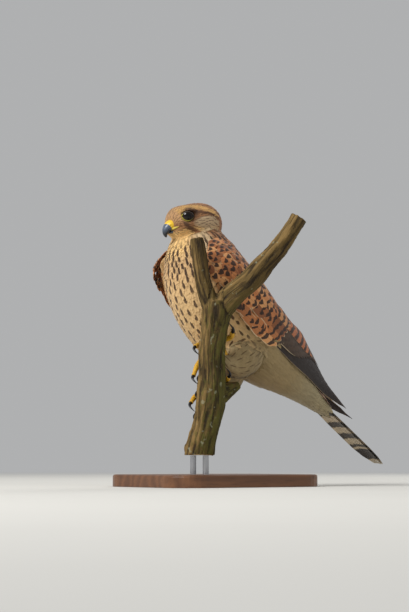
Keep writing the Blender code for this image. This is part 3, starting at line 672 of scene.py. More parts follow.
class Look:
    """What each feather of a piece is like: its colours, its dark mark, its size and how it lies."""

    def __init__(self, count):
        self.tone = np.tile(BUFF, (count, 1))
        self.ink = np.tile(DARK, (count, 1))
        self.mark = np.tile([3.0, 0.8, 0.8], (count, 1))
        self.gap = np.full(count, 2.4)
        self.mark_gap = np.full(count, 6.0)
        self.length = np.full(count, 11.0)
        self.width = np.full(count, 5.0)
        self.lift = np.full(count, 1.8)
        self.fray = np.full(count, 0.12)

    def of(self, chosen):
        """The look of the chosen feathers alone."""
        part = Look(0)
        for key, values in vars(self).items():
            setattr(part, key, values[chosen])
        return part


def layered(tone, *coats):
    """The tone with each coat's colour laid over it by its share."""
    for over, share in coats:
        tone = mix(tone, over, share)
    return tone


def eye_distance(points):
    """How far each point is from the nearer eye's centre."""
    return np.min([np.linalg.norm(points - centre, axis=-1) for centre in EYE_CENTRE], axis=0)


def head_look(points):
    """The head's feathers: fine and flat on the face, longer on the nape, with the face's marks."""
    across, f, r = to_head(points)
    look = Look(len(points))
    side = step(7, 12, np.abs(across))
    low, top = step(-4.5, -8, r), step(4, 9, r)
    face, nape = step(-6, 8, f), step(-8, -16, f)
    brow = 1 - step(1.1, 3.0, on_polyline(f, r, BROW_LINE))
    cheek = 1 - step(0.75, 1.1, np.hypot((f + 4.5) / 12, (r + 3.4) / 5.0))
    line = 1 - step(0.5, 1.6, on_polyline(f, r, EYE_LINE))
    moustache = 1 - step(0.9, 2.3, on_polyline(f, r, MOUSTACHE_LINE))
    eye = eye_distance(points)
    near = 1 - step(6.0, 12.0, eye)
    # A dark ring round each eye, darkest above it: partly the face's own dark, partly painted shade under the
    # brow.
    rim = (1 - step(6.4, 8.2, eye)) * (0.45 + 0.45 * step(0.0, 5.0, r)) * (1 - 0.6 * step(8, 12, f))
    ridge = step(8, 11, f) * step(3.5, 5.5, r) * step(7, 9, np.abs(across))
    look.tone = layered(
        CROWN,
        (TAN, step(8, 14, f) * step(-3, 2, r)),
        (NAPE, step(-8, -18, f)),
        (CHIN, low * step(-14, -6, f)),
        (NECK, low * step(6, -4, f) * step(-17, -9, f)),
        (GOLD, brow * 0.9),
        (CHEEK, cheek * side),
        (UMBER, line * side * 0.92),
        (mix(UMBER, REDDISH, step(11, 4, f)), moustache * side * 0.92),
        (UMBER, rim),
    )
    look.ink = mix(DARK, UMBER, 1 - top)
    strength = 0.62 + 0.2 * top + 0.2 * nape - 0.6 * step(-7, -11, r) * step(-2, 5, f)
    strength = np.clip(strength, 0, 0.9) * (1 - 0.6 * brow)
    look.mark = np.stack([2.3 + 1.0 * nape, 0.42 + 0.30 * nape, strength], -1)
    look.mark_gap = 2.1 + 1.4 * nape
    look.length = (5.6 - 1.9 * face - 0.9 * near + 2.4 * nape) * (1 - 0.35 * ridge)
    look.width = 2.1 - 0.75 * face - 0.25 * near + 0.9 * nape
    look.gap = 1.05 - 0.27 * face - 0.1 * near + 0.2 * nape
    look.lift = (0.85 - 0.4 * face + 0.2 * nape) * (1 - 0.6 * ridge)
    look.fray[:] = 0.8
    return look


def body_look(row, turn):
    """The body's feathers: streaked on the breast, spotted below it, plain under the tail, reddish behind."""
    around = np.degrees(np.abs(turn))
    look = Look(len(row))
    edge = 90 - 30 * step(4.6, 6.6, row)
    front = step(-7, 7, around - edge)
    # The belly and the feathers under the tail turn darker and greyer: painted shade over their own pale
    # buff.
    breast = layered(
        BUFF,
        (SHADE_BUFF, step(5.0, 6.5, row)),
        (VENT_WITH_PAINTED_SHADE, step(7.2, 8.6, row)),
        (TAN, 0.45 * step(4.4, 2.4, row)),
        (THROAT, step(2.4, 1.0, row) * step(115, 150, around)),
        (NECK, step(2.9, 2.0, row) * step(135, 105, around)),
    )
    back = layered(RUFOUS, (RUMP, step(6.2, 7.4, row)), (NAPE, step(2.6, 1.6, row)))
    look.tone = mix(back, breast, front)
    look.ink = mix(DARK, UMBER, front * 0.35)
    low, flank, vent = step(2.9, 3.9, row), step(4.6, 5.6, row), step(5.4, 6.6, row)
    centre = step(150, 172, around) * step(4.8, 5.8, row)
    strength = (0.95 - 0.07 * low) * (1 - 0.93 * vent) * (1 - 0.75 * centre)
    strength = strength * (1 - step(1.3, 0.7, row) * 0.6)
    look.mark = np.stack([5.0 - 1.2 * low - 0.4 * flank, 1.15 + 0.25 * low - 0.4 * flank, strength], -1)
    look.mark_gap = 4.4 + 2.2 * low
    wide = step(1.8, 4.8, row)
    look.length = 6.6 + 5.6 * wide + 6.5 * vent * front
    look.width = 2.5 + 1.4 * wide - 0.3 * vent
    look.gap = 1.2 + 0.38 * wide + 0.1 * vent
    look.lift = 1.0 + 0.5 * vent * front
    look.fray[:] = 0.9
    return look


def thigh_look(share):
    """The thigh's feathers: long and loose at the hip, short near the heel, with fine streaks."""
    look = Look(len(share))
    # Darker still towards the hip, where the thigh meets the belly: painted shade over the thigh's own buff.
    look.tone = mix(SHADE_BUFF, THIGH_WITH_PAINTED_SHADE, step(0.2, 0.7, share))
    look.ink[:] = UMBER
    look.mark[:] = 4.2, 0.5, 0.65
    look.mark_gap[:] = 5.2
    look.length = 13.0 - 7.0 * share
    look.width = 3.0 - 1.1 * share
    look.gap = 1.35 - 0.45 * share
    look.lift = 1.1 - 0.5 * share
    look.fray[:] = 1.0
    return look


def skin_ground():
    """The bird's bare shape inside its feathers: body, skull, legs, folded arms and brows in one skin."""
    turns = np.linspace(0, 2 * math.pi, 56, endpoint=False)[None]
    parts = [loft("body", body_surface(np.linspace(0, 11, 78)[:, None], turns))]
    parts.append(loft("skull", head_surface(np.linspace(0, 1, 44)[:, None], turns)))
    for word, side in SIDES:
        along = np.linspace(0, 1, 24)
        parts.append(loft("leg", tube_rings(thigh_path(word, along), *thigh_sizes(along), 32)))
        parts.append(loft("arm", arm_rings(side)))
        brow = ball_points(BROW_SIZE, 24, 14)
        lean = math.radians(-side * BROW_LEAN)
        turned = brow.copy()
        turned[..., 0] = brow[..., 0] * math.cos(lean) - brow[..., 1] * math.sin(lean)
        turned[..., 1] = brow[..., 0] * math.sin(lean) + brow[..., 1] * math.cos(lean)
        across, forward, rise = BROW_PLACE
        parts.append(loft("brow", on_head(side * across, forward, rise) + turned @ HEAD.T))
    return fused("skin", parts, SKIN_VOXEL, 4)


def arm_rings(side):
    """Rings round the folded arm: its outside follows the wing's sheet, and its bend is narrower."""
    share, height = np.meshgrid(np.linspace(0, WING_FLESH_END, 40), np.linspace(0, 1, 16), indexing="ij")
    point, _, _, out = wing_sheet(share, height, side)
    depth = WING_DEPTH + (WING_TIP_DEPTH - WING_DEPTH) * np.minimum(1, share / WING_TAPER_SHARE)
    outer = point - out * WING_COAT
    inner = point - out * depth[..., None] * (0.5 + 0.5 * np.sin(math.pi * height))[..., None]
    rings = np.concatenate([outer, inner[:, ::-1]], axis=1)
    shrink = np.interp(share[:, 0], (0, 0.06, 0.12, 0.18), (0.35, 0.78, 0.93, 1.0))[:, None, None]
    middle = rings.mean(axis=1, keepdims=True)
    return middle + (rings - middle) * shrink


def thigh_sizes(share):
    """How wide and how tall the bare thigh is."""
    wide, tall = np.moveaxis(smooth(THIGH_SIZES, share), -1, 0) - THIGH_COAT
    return np.maximum(wide, THIGH_LEAST), np.maximum(tall, THIGH_LEAST)


def ball_points(sizes, rings, sides):
    """Rings of points over a ball of three sizes."""
    lean = np.linspace(0.02, math.pi - 0.02, rings)[:, None]
    turn = np.linspace(0, 2 * math.pi, sides, endpoint=False)[None]
    ball = (np.sin(lean) * np.cos(turn), np.sin(lean) * np.sin(turn), np.cos(lean) + 0 * turn)
    return np.stack(ball, -1) * np.asarray(sizes, float)


class Ground:
    """Finds the nearest place of the skin, with its outward way and its place on the unwrap."""

    def __init__(self, skin):
        mesh = skin.data
        mesh.calc_loop_triangles()
        loops = flat_values(mesh.loop_triangles, "loops", 3, np.int32)
        self.points = points_of(skin)
        self.normals = normals_of(skin)
        self.corners = flat_values(mesh.loop_triangles, "vertices", 3, np.int32)
        self.chart = flat_values(mesh.uv_layers["OFBake"].data, "uv", 2)[loops]
        self.tree = BVHTree.FromPolygons(self.points.tolist(), self.corners.tolist())

    def snap(self, points):
        """For each point: the nearest place, its outward way, how far off the point is, and its triangle."""
        place = np.empty_like(points)
        off, which = np.empty(len(points)), np.empty(len(points), int)
        for i, point in enumerate(points.tolist()):
            at, normal, index, distance = self.tree.find_nearest(point)
            place[i], which[i] = at, index
            off[i] = distance if (Vector(point) - at).dot(normal) > 0 else -distance
        corners = self.points[self.corners[which]]
        near = 1 / (np.linalg.norm(corners - place[:, None], axis=-1) + 0.05)
        near /= near.sum(axis=1, keepdims=True)
        way = unit((self.normals[self.corners[which]] * near[..., None]).sum(axis=1))
        return place, way, off, which

    def charts(self, points):
        """Where on the unwrap the nearest places lie."""
        return self.chart[self.snap(points)[3]].mean(axis=1)


def plane(ways, normals):
    """The ways laid flat on the skin."""
    return unit(ways - normals * (ways * normals).sum(-1, keepdims=True))


def grid_faces(count, points_each, stations, columns, closed_by):
    """Faces of many vanes. closed_by is "lens" for a flat underside, or "sheet" for a fine one."""
    i, j = np.meshgrid(np.arange(stations - 1), np.arange(columns - 1), indexing="ij")
    at = i * columns + j
    top = np.stack([at, at + columns, at + columns + 1, at + 1], -1).reshape(-1, 4)
    last = columns - 1
    row = np.arange(stations - 1) * columns
    if closed_by == "lens":
        under = np.stack([row, row + last, row + columns + last, row + columns], -1)
        ends = np.stack([np.arange(columns), np.arange(columns)[::-1] + (stations - 1) * columns])
        groups = [np.concatenate([top, under]), ends]
    else:
        lower = stations * columns
        left = np.stack([row, row + lower, row + columns + lower, row + columns], -1)
        right = np.stack([row, row + columns, row + columns + lower, row + lower], -1) + last
        j = np.arange(last)
        root = np.stack([j, j + 1, j + 1 + lower, j + lower], -1)
        tip = np.stack([j, j + lower, j + 1 + lower, j + 1], -1) + (stations - 1) * columns
        groups = [np.concatenate([top, top[:, ::-1] + lower, left, right, root, tip])]
    shift = (np.arange(count) * points_each)[:, None, None]
    return [(group[None] + shift).reshape(-1, group.shape[1]) for group in groups]


def vane_piece(name, points, charts, u, v, closed_by, thickness=None, normals=None):
    """One piece of many vanes: feathers by stations by columns. charts holds each root on the unwrap."""
    count, stations, columns = points.shape[:3]
    flat = points.reshape(count, -1, 3)
    if closed_by == "sheet":
        under = points - normals * thickness[..., None]
        flat = np.concatenate([flat, under.reshape(count, -1, 3)], axis=1)
    each = flat.shape[1]
    made = piece(name, flat.reshape(-1, 3), *grid_faces(count, each, stations, columns, closed_by))
    layers = 1 if closed_by == "lens" else 2
    patch = np.stack(np.broadcast_arrays(u[:, None], v[None] * 0.5 + 0.5), -1).reshape(-1, 2) - 0.5
    chart = charts[:, None] + np.tile(patch, (layers, 1))[None] * PATCH
    index = flat_values(made.data.loops, "vertex_index", 1, np.int32).ravel()
    layer = made.data.uv_layers.new(name="OFBake")
    layer.data.foreach_set("uv", chart.reshape(-1, 2)[index].astype(np.float32).ravel())
    return made, layers


def spread(values, stations, columns, layers):
    """Values of each feather, or of each of its points, for every point of the piece."""
    values = np.asarray(values, float)
    if values.ndim == 2:
        values = np.broadcast_to(values[:, None, None], (len(values), stations, columns, values.shape[-1]))
    flat = values.reshape(len(values), -1, values.shape[-1])
    return np.tile(flat, (1, layers, 1)).reshape(-1, values.shape[-1])


def patterned(made, layers, shape, values):
    """Stores what the feathers' material reads at each point."""
    for name, numbers in values.items():
        whole = np.stack([np.broadcast_to(n, shape) for n in numbers], -1)
        attribute(made, name, "FLOAT_VECTOR", spread(whole, *shape[1:], layers))


def paint(made, layers, shape, tone, ink):
    """Stores each feather's own colour and its mark's colour."""
    for name, values in (("tone", tone), ("ink", ink)):
        values = np.asarray(values, float)
        solid = np.concatenate([values, np.ones_like(values[..., :1])], -1)
        attribute(made, name, "FLOAT_COLOR", spread(solid, *shape[1:], layers))


def grow(name, ground, roots, ways, look, marks, stations, columns):
    """Many small vanes on the skin, each over the roots of the next. marks are the dark spots' places."""
    count = len(roots)
    u = np.linspace(0, 1, stations) ** 0.9
    v = np.linspace(-1, 1, columns)
    along, aside = u[None, :, None], v[None, None]
    length = look.length * RNG.uniform(0.88, 1.14, count)
    path, normals, alongs, charts = trails(ground, roots, ways, length, u)
    across = np.cross(normals, alongs)
    rnd = RNG.random((count, 1, 1))
    sizes = (look.width, look.lift, look.fray, length)
    width, lift, fray, length = (values[:, None, None] for values in sizes)
    rise = -SMALL_SUNK + (lift * (0.8 + 0.4 * rnd) + SMALL_SUNK) * along**0.7
    half = width / 2 * RNG.uniform(0.85, 1.15, (count, 1, 1)) * np.interp(u, *SMALL_VANE)[None, :, None]
    sideways = half * aside
    most = np.minimum(0.42 * width, 0.45 * ((u[-1] - u[-2]) * length))
    notch = RNG.random((count, 1, columns)) * fray * 0.9 * (1 - aside**2)
    back = most * (aside**2 * along**3 + notch * along**6)
    camber = 0.20 * half * aside**2
    points = path + across * sideways[..., None] - alongs * back[..., None]
    points = points + normals * (rise - camber)[..., None]
    made, layers = vane_piece(name, points, charts, u, v, "lens")
    spot_at, spot_way = marks
    near = nearest(spot_at, roots + ways * (look.length * 0.72)[:, None])
    local = points - spot_at[near][:, None, None]
    spot_across = unit(np.cross(normals[:, 0, 0], spot_way[near]))[:, None, None]
    x = (local * spot_way[near][:, None, None]).sum(-1)
    y = (local * spot_across).sum(-1)
    long, wide, strength = (values[:, None, None] for values in look.mark.T)
    patterned(made, layers, x.shape, {
        "spot": (x, y, strength),
        "size": (long, wide, rnd),
        "vane": (along * length, sideways, along),
    })
    paint(made, layers, x.shape, look.tone, look.ink)
    return made


def trails(ground, roots, ways, length, u):
    """Paths over the skin from each root, with the outward ways and the ways along them."""
    place, normal, _, which = ground.snap(roots)
    charts = ground.chart[which].mean(axis=1)
    way = plane(ways, normal)
    path, normals, alongs = [place], [normal], [way]
    for k in range(1, len(u)):
        ahead = path[-1] + way * (length * (u[k] - u[k - 1]))[:, None]
        place, normal, off, _ = ground.snap(ahead)
        turned = (unit(place - path[-1]) * way).sum(-1) < 0.85
        free = (np.abs(off) > 2.0) | turned | ((normal * normals[-1]).sum(-1) < 0.8)
        place[free], normal[free] = ahead[free], normals[-1][free]
        way = plane(place - path[-1], normal)
        path.append(place)
        normals.append(normal)
        alongs.append(way)
    return *(np.stack(rows, 1)[:, :, None] for rows in (path, normals, alongs)), charts


class Vanes:
    """Large feathers of one kind: where they lie, their size, shape, colours and bars.

    Each row holds the root's and the tip's place, the width, the lift and the length. bars are their
    spacing, dark share, slant and strength, band is where a broad dark band begins and ends from the tip,
    and fringe is the pale trim's width at the tip and its share at the sides.
    """

    USUAL = {
        "stations": 30, "columns": 11, "shape": LONG_VANE, "point": 0.3, "outer": 0.5, "camber": 0.05,
        "thick": 0.22, "tone": RUFOUS, "ink": DARK, "trim": CREAM, "bars": (7.0, 0.4, 0.3, 0.9),
        "band": (0.0, 0.0), "fringe": (0.7, 0.06), "spotty": 0.0, "trimmed": 0.8, "loose": 1.0,
    }

    def __init__(self, rows, **own):
        self.rows = np.asarray(rows, float)
        vars(self).update(self.USUAL | own)

    def column(self, i):
        """One of the rows' numbers, to be set against stations and columns."""
        return self.rows[:, i][:, None, None]


def lay_vanes(name, kind, lay, charts):
    """A piece of large vanes. lay turns share along, millimetres across and lift into points and ways."""
    count = len(kind.rows)
    u = np.linspace(0, 1, kind.stations) ** 0.85
    v = np.linspace(-1, 1, kind.columns)
    share, aside = u[None, :, None], v[None, None]
    width, length = kind.column(4), kind.column(6)
    profile = np.interp(u, *kind.shape)[None, :, None]
    lead = np.where(v < 0, 2 * kind.outer, 2 * (1 - kind.outer))[None, None]
    across = aside * lead * width / 2 * profile
    tip = kind.point * width * aside**2 * share**6
    nick = RNG.random((count, 1, kind.columns)) * 0.5 * share**10
    along = share - (tip + nick) / length
    points, normals = lay(kind, along, across, kind.column(5) + np.zeros_like(along))
    arch = kind.camber * width * (1 - aside**2) * profile
    points = points + normals * arch[..., None]
    thickness = kind.thick * (1 - 0.7 * np.abs(aside) ** 3) * (1 - 0.6 * share) + 0 * across
    made, layers = vane_piece(name, points, charts, u, v, "sheet", thickness, normals)
    rnd = RNG.random((count, 1, 1)) * kind.loose
    spacing, dark, slant, strength = kind.bars
    patterned(made, layers, across.shape, {
        "spot": ((1 - along) * length, across, strength),
        "size": (spacing * (0.92 + 0.16 * rnd), dark * (0.85 + 0.3 * (rnd * 7 % 1)), slant),
        "band": (*kind.band, kind.fringe[0]),
        "vane": (along * length, aside, rnd),
        "trim_size": (kind.fringe[1], kind.spotty * RNG.uniform(0.8, 1.25, (count, 1, 1)),
                      kind.trimmed * RNG.uniform(0.45, 1.0, (count, 1, 1))),
    })
    jitter = RNG.uniform(0.88, 1.1, (count, 1))
    tone, ink = (np.broadcast_to(values, (count, 3)) for values in (kind.tone, kind.ink))
    paint(made, layers, across.shape, tone * jitter, ink)
    solid = np.append(kind.trim, 1.0)
    attribute(made, "trim", "FLOAT_COLOR", np.broadcast_to(solid, (len(made.data.vertices), 4)))
    return made


def wing_lay(side):
    """Lays vanes along a folded wing's sheet."""
    def lay(kind, along, across, lift):
        root_s, root_t, tip_s, tip_t = (kind.column(i) for i in range(4))
        s = root_s + (tip_s - root_s) * along
        t = root_t + (tip_t - root_t) * along
        tall = np.linalg.norm(wing_sheet(s, t, side)[2], axis=-1)
        turn = np.clip(across / tall, -0.3, 0.3)
        rest = across - turn * tall
        point, _, rise, out = wing_sheet(s + 0 * turn, t + turn, side)
        height = lift - (lift + WING_SUNK) * np.maximum(0, 1 - along * 2.2) ** 1.5
        return point + unit(rise) * rest[..., None] + out * height[..., None], out
    return lay


def tail_lay(kind, along, across, lift):
    """Lays vanes in the tail's stack, roofed a little to both sides."""
    start, end = (np.array([0, *at], float) for at in (TAIL_ROOT, TAIL_TIP))
    way = unit(end - start)
    up = np.array([0, -way[2], way[1]])
    x = kind.column(0) * (0.25 + 0.75 * along) + across
    points = start + way * (along * kind.column(6))[..., None] + X_WAY * x[..., None]
    points = points + up * (lift - TAIL_ROOF * x**2)[..., None]
    return points, np.broadcast_to(up, points.shape)


def between(first, last, count):
    """Rows that go evenly from the first to the last."""
    share = np.linspace(0, 1, count)[:, None]
    return np.asarray(first, float) * (1 - share) + np.asarray(last, float) * share


def with_lengths(rows, side):
    """Adds each wing vane's length to its row."""
    u = np.linspace(0, 1, 12)
    s = rows[:, 0][:, None] + (rows[:, 2] - rows[:, 0])[:, None] * u
    t = rows[:, 1][:, None] + (rows[:, 3] - rows[:, 1])[:, None] * u
    path = wing_sheet(s, t, side)[0]
    length = np.linalg.norm(np.diff(path, axis=1), axis=-1).sum(axis=1)
    return np.concatenate([rows, length[:, None]], axis=1)


def covert_rows(side):
    """The rows of small and middle coverts, from the bend of the wing back."""
    rows = []
    for r in range(COVERT_ROWS):
        tip = 0.045 + 0.036 * r
        reach = 0.055 + 0.006 * r
        top = 1.02 if tip < 0.33 else 1.02 - 2.2 * (tip - 0.33)
        low, high = (wing_sheet(tip, height, side)[0] for height in (0.0, top))
        count = max(3, int(round(np.linalg.norm(high - low) / (5.8 + 0.16 * r))))
        for i in range(count):
            t = (i + 0.35 + 0.5 * (r % 2) * 0.9) / count * top + RNG.uniform(-0.03, 0.03)
            jitter = RNG.uniform(-0.011, 0.011)
            width = RNG.uniform(0.9, 1.05) * (7.4 + 0.36 * r)
            rows.append([tip - reach + jitter, t - 0.01, tip + jitter, t, width, 0.9 + 0.04 * r])
    return with_lengths(np.array(rows), side)


def rufous_tones(count):
    """A different reddish brown for each feather."""
    share = RNG.random(count)
    return layered(RUFOUS_DEEP, (RUFOUS, step(0, 0.5, share)), (RUFOUS_PALE, step(0.5, 1.0, share)))


# The wing's large feathers by kind: the first and the last row, how many there are, and what is their own.
WING_KINDS = {
    "primaries": ([0.42, 0.10, 1.00, 0.38, 10.0, 0.0], [0.40, 0.52, 0.78, 0.80, 11.0, 1.0], 10, {
        "stations": 44, "shape": FLIGHT_VANE, "point": 0.9, "outer": 0.34, "camber": 0.03, "tone": PRIMARY,
        "bars": (9.0, 0.3, 0.2, 0.25), "fringe": (0.8, 0.12), "trim": PALE}),
    "secondaries": ([0.36, 0.16, 0.62, 0.30, 11.0, 1.0], [0.36, 0.56, 0.76, 0.80, 12.0, 1.7], 9, {
        "stations": 40, "shape": FLIGHT_VANE, "point": 0.5, "outer": 0.36, "camber": 0.03, "tone": SECONDARY,
        "bars": (9.0, 0.45, 0.3, 0.35), "fringe": (0.4, 0.22), "trimmed": 0.9}),
    "tertials": ([0.34, 0.52, 0.71, 0.70, 15.0, 1.9], [0.30, 0.86, 0.53, 0.90, 15.0, 2.5], 5, {
        "stations": 40, "columns": 13, "point": 0.45, "outer": 0.45, "tone": TERTIAL,
        "bars": (8.6, 0.42, 0.25, 0.95), "fringe": (1.4, 0.05), "trim": PALE}),
    "guards": ([0.29, 0.03, 0.47, 0.06, 8.0, 0.9], [0.33, 0.16, 0.50, 0.20, 10.0, 1.4], 5, {
        "stations": 22, "columns": 9, "point": 0.4, "outer": 0.42, "tone": SECONDARY,
        "bars": (8.0, 0.5, 0.3, 0.8), "fringe": (0.9, 0.10)}),
    "greaters": ([0.33, 0.05, 0.475, 0.09, 10.0, 1.7], [0.34, 0.72, 0.49, 0.76, 12.0, 2.3], 8, {
        "stations": 24, "shape": ROUND_VANE, "point": 0.35, "camber": 0.06,
        "bars": (8.6, 0.5, 0.4, 0.95), "fringe": (1.2, 0.16), "spotty": 0.8, "trimmed": 1.0}),
}
COVERT_KIND = {
    "stations": 13, "columns": 9, "shape": ROUND_VANE, "point": 0.35, "camber": 0.07,
    "bars": (8.4, 0.46, 0.5, 0.95), "fringe": (0.9, 0.16), "spotty": 1.0, "trimmed": 0.85,
}
TAIL_KIND = {
    "stations": 60, "columns": 13, "point": 0.35, "camber": 0.0, "thick": 0.26, "tone": TAIL_TONE,
    "ink": TAIL_INK, "bars": (18.0, 0.52, 0.15, 0.95), "band": (6.5, 22.0), "fringe": (5.0, 0.03),
    "trim": WHITISH, "loose": 0.12,
}
MANTLE_KIND = {
    "stations": 13, "columns": 9, "shape": ROUND_VANE, "point": 0.35, "thick": 0.18,
    "bars": (7.2, 0.44, 0.45, 0.95), "fringe": (0.7, 0.10), "spotty": 0.9, "trimmed": 0.7,
}


def make_wing(word, side, ground):
    """The big feathers of one folded wing, in pieces by kind."""
    coverts = covert_rows(side)
    kinds = {name: Vanes(with_lengths(between(first, last, count), side), **own)
             for name, (first, last, count, own) in WING_KINDS.items()}
    kinds["coverts"] = Vanes(coverts, **COVERT_KIND)
    for name in ("greaters", "coverts"):
        kinds[name].tone = rufous_tones(len(kinds[name].rows))
    made = []
    for name, kind in kinds.items():
        middle = kind.rows[:, [0, 1]] * 0.4 + kind.rows[:, [2, 3]] * 0.6
        charts = ground.charts(wing_sheet(middle[:, 0], middle[:, 1], side)[0])
        made.append(lay_vanes(f"{name}_{word}", kind, wing_lay(side), charts))
    return made


def make_tail_feathers(ground):
    """The tail's feathers in one stack."""
    length = np.linalg.norm(np.subtract(TAIL_TIP, TAIL_ROOT))
    rows = []
    for i in range(TAIL_FEATHERS):
        side = 1 if i % 2 else -1
        rows.append([side * TAIL_SPREAD * (i + 1) / TAIL_FEATHERS, 0, 0, 0, TAIL_VANE_WIDTH,
                     TAIL_LIFT - TAIL_LAYER * i, length - TAIL_STEP * i])
    roots = body_surface(np.full(len(rows), 10.0), np.zeros(len(rows)))
    return lay_vanes("tail_feathers", Vanes(rows, **TAIL_KIND), tail_lay, ground.charts(roots))


def mantle_lay(ground, roots, ways):
    """Lays vanes over the skin of the back."""
    def lay(kind, along, across, lift):
        u = np.linspace(0, 1, kind.stations) ** 0.85
        share = u[None, :, None]
        path, normals, alongs, _ = trails(ground, roots, ways, kind.rows[:, 6], u)
        side = np.cross(normals, alongs)
        back = (share - along) * kind.column(6)
        rise = -MANTLE_SUNK + (lift + MANTLE_SUNK) * share**0.6 - 0.012 * across**2
        points = path + side * across[..., None] - alongs * back[..., None] + normals * rise[..., None]
        return points, np.broadcast_to(normals, points.shape)
    return lay


def bill_rings(stations, begin, end, count, sides, swell, bulge=0.0):
    """A length of a bill, swelled across and up. Its lower side is flat, and its edges bulge at the tooth."""
    shares = np.linspace(begin, end, count)
    rows = smooth(stations, shares)
    path = on_head(0.0, rows[:, 0], rows[:, 1])
    turn = np.linspace(0, 2 * math.pi, sides, endpoint=False)
    lower = np.clip(np.cos(turn), 0, 1)[None]
    edge = np.exp(-((np.abs(np.sin(turn)) - 0.72) / 0.2) ** 2) * (np.cos(turn) > 0)
    tooth = bulge * np.exp(-((shares - TOOTH_SHARE) / 0.05) ** 2)
    section = 1 - 0.10 * lower**3 + edge[None] * tooth[:, None]
    across, up = np.outer(swell, 1 - np.linspace(0, 1, count) ** 4)
    return tube_rings(path, rows[:, 2] + across, rows[:, 3] + up, sides, HEAD @ X_WAY, section)


def make_bill():
    """The bill's upper and lower halves, the cere with its nostrils, and the mouth's soft corners."""
    upper = loft("bill_top", bill_rings(BILL_STATIONS, CERE_SHARE - 0.04, 1, 90, 56, (1.1, 0.35), 0.16))
    _, f, r = to_head(points_of(upper))
    tip = step(-3.5, -9.5, r) * step(17, 23, f)
    # The bill is lighter along its top: painted highlight.
    tinted(upper, layered(BILL_GREY, (BILL_PAINTED_HIGHLIGHT, step(0.0, 3.0, r)), (BILL_TIP, tip)))
    lower = loft("bill_under", bill_rings(LOWER_BILL_STATIONS, 0, 1, 50, 40, (0.5, -0.3)))
    move_points(lower, points_of(lower) + HEAD @ np.array(LOWER_BILL_SHIFT))
    f = to_head(points_of(lower))[1]
    tinted(lower, layered(GAPE, (BILL_GREY, step(15, 18, f)), (BILL_TIP, step(18, 22, f))))
    cere = loft("bill_cere", bill_rings(BILL_STATIONS, 0, CERE_SHARE + 0.02, 90, 96, (1.6, 0.9)))
    at = points_of(cere)
    inward = -normals_of(cere)
    tones = np.tile(CERE_YELLOW, (len(at), 1))
    across, forward, rise = NOSTRIL_PLACE
    for _, side in SIDES:
        far = np.linalg.norm(at - on_head(side * across, forward, rise), axis=-1)
        rim = np.exp(-((far - 1.35) / 0.4) ** 2)
        hole = 1 - step(0.45, 1.15, far)
        post = 1 - step(0.1, 0.45, far)
        at = at + inward * (1.1 * hole - 0.7 * post - 0.12 * rim)[:, None]
        # The nostril's hole is coloured dark, its raised post less so: painted shade in the hole.
        tones = mix(tones, NOSTRIL_PAINTED_SHADE, np.clip(hole - 0.5 * post, 0, 1))
    move_points(cere, at)
    tinted(cere, tones)
    share = np.linspace(0, 1, 24)
    size = 1.05 * (1 - 0.5 * share) * np.sin(math.pi * (0.15 + 0.8 * share)) ** 0.7
    gape = joined("bill_gape", [
        loft("gape", tube_rings(gape_path(side, share), size, size * 0.8, 20, (0, 0, 1))) for _, side in SIDES
    ])
    tinted(gape, GAPE)
    for made in (upper, lower, cere):
        move_points(made, points_of(made) + HEAD @ np.array([0, 0, BILL_RAISE]))
    return upper, lower, cere, gape


def gape_path(side, share):
    """The corner of the mouth, from the bill back along the face."""
    across = 4.0 + 7.4 * share
    forward = np.interp(across, (0, 7, 12.4, 15.4), (18.9, 18.4, 16.4, 13.0)) - 0.2
    return on_head(side * across, forward + 0.8 * (1 - share) ** 2, -4.6 + 0.9 * share)


def eye_frame(side):
    """An eye's centre, the way it looks, and the level and upright ways across it."""
    ahead = math.radians(EYE_FORWARD)
    look = HEAD @ np.array([side * math.cos(ahead), -math.sin(ahead), 0.0])
    level = unit(np.cross(look, (0, 0, 1)))
    across, forward, rise = EYE_PLACE
    return on_head(side * across, forward, rise), look, level, np.cross(level, look)


EYE_CENTRE = np.stack([eye_frame(side)[0] for _, side in SIDES])


def make_eye(word, side):
    """The eyeball, with the clear front a little raised, and the ring of its lids."""
    centre, look, level, high = eye_frame(side)
    lean = np.concatenate([np.linspace(0.01, 1.1, 60), np.linspace(1.13, math.pi - 0.02, 30)])[:, None]
    turn = np.linspace(0, 2 * math.pi, 72, endpoint=False)[None]
    radius = EYE_RADIUS + 0.3 * np.exp(-(lean / 0.5) ** 2)
    out = (look * np.cos(lean)[..., None] + level * (np.sin(lean) * np.cos(turn))[..., None]
           + high * (np.sin(lean) * np.sin(turn))[..., None])
    ball = loft("eye_ball_" + word, centre + out * radius[..., None])
    angle = np.arccos(np.clip(unit(points_of(ball) - centre) @ look, -1, 1))
    tinted(ball, layered(PUPIL, (IRIS, step(0.40, 0.47, angle)), (PUPIL, step(0.74, 0.84, angle))))
    rings = lid_rings(centre, look, level, high)
    count, about = rings.shape[:2]
    i, j = np.meshgrid(np.arange(count), np.arange(about), indexing="ij")
    k, m = (i + 1) % count, (j + 1) % about
    faces = np.stack([i * about + j, k * about + j, k * about + m, i * about + m], -1).reshape(-1, 4)
    lid = piece("eye_lid_" + word, rings.reshape(-1, 3), faces if side > 0 else faces[:, ::-1])
    # The lid ring is yellow only below and in front, near the eye; above, behind and at its outer edge it is
    # dark: painted shadow, as under the brow.
    at = points_of(lid) - centre
    rho = np.hypot(at @ level / LID_LONG, at @ high / LID_HIGH)
    ahead = at @ HEAD @ np.array([0, -1.0, 0])
    low = step(1.0, -1.5, at @ high - 0.35 * ahead)
    shaded = 1 - (0.15 + 0.85 * step(-0.5, 3.0, ahead)) * low * (1 - step(1.22, 1.42, rho))
    tinted(lid, mix(LID_YELLOW, LID_PAINTED_SHADOW, shaded))
    return ball, lid


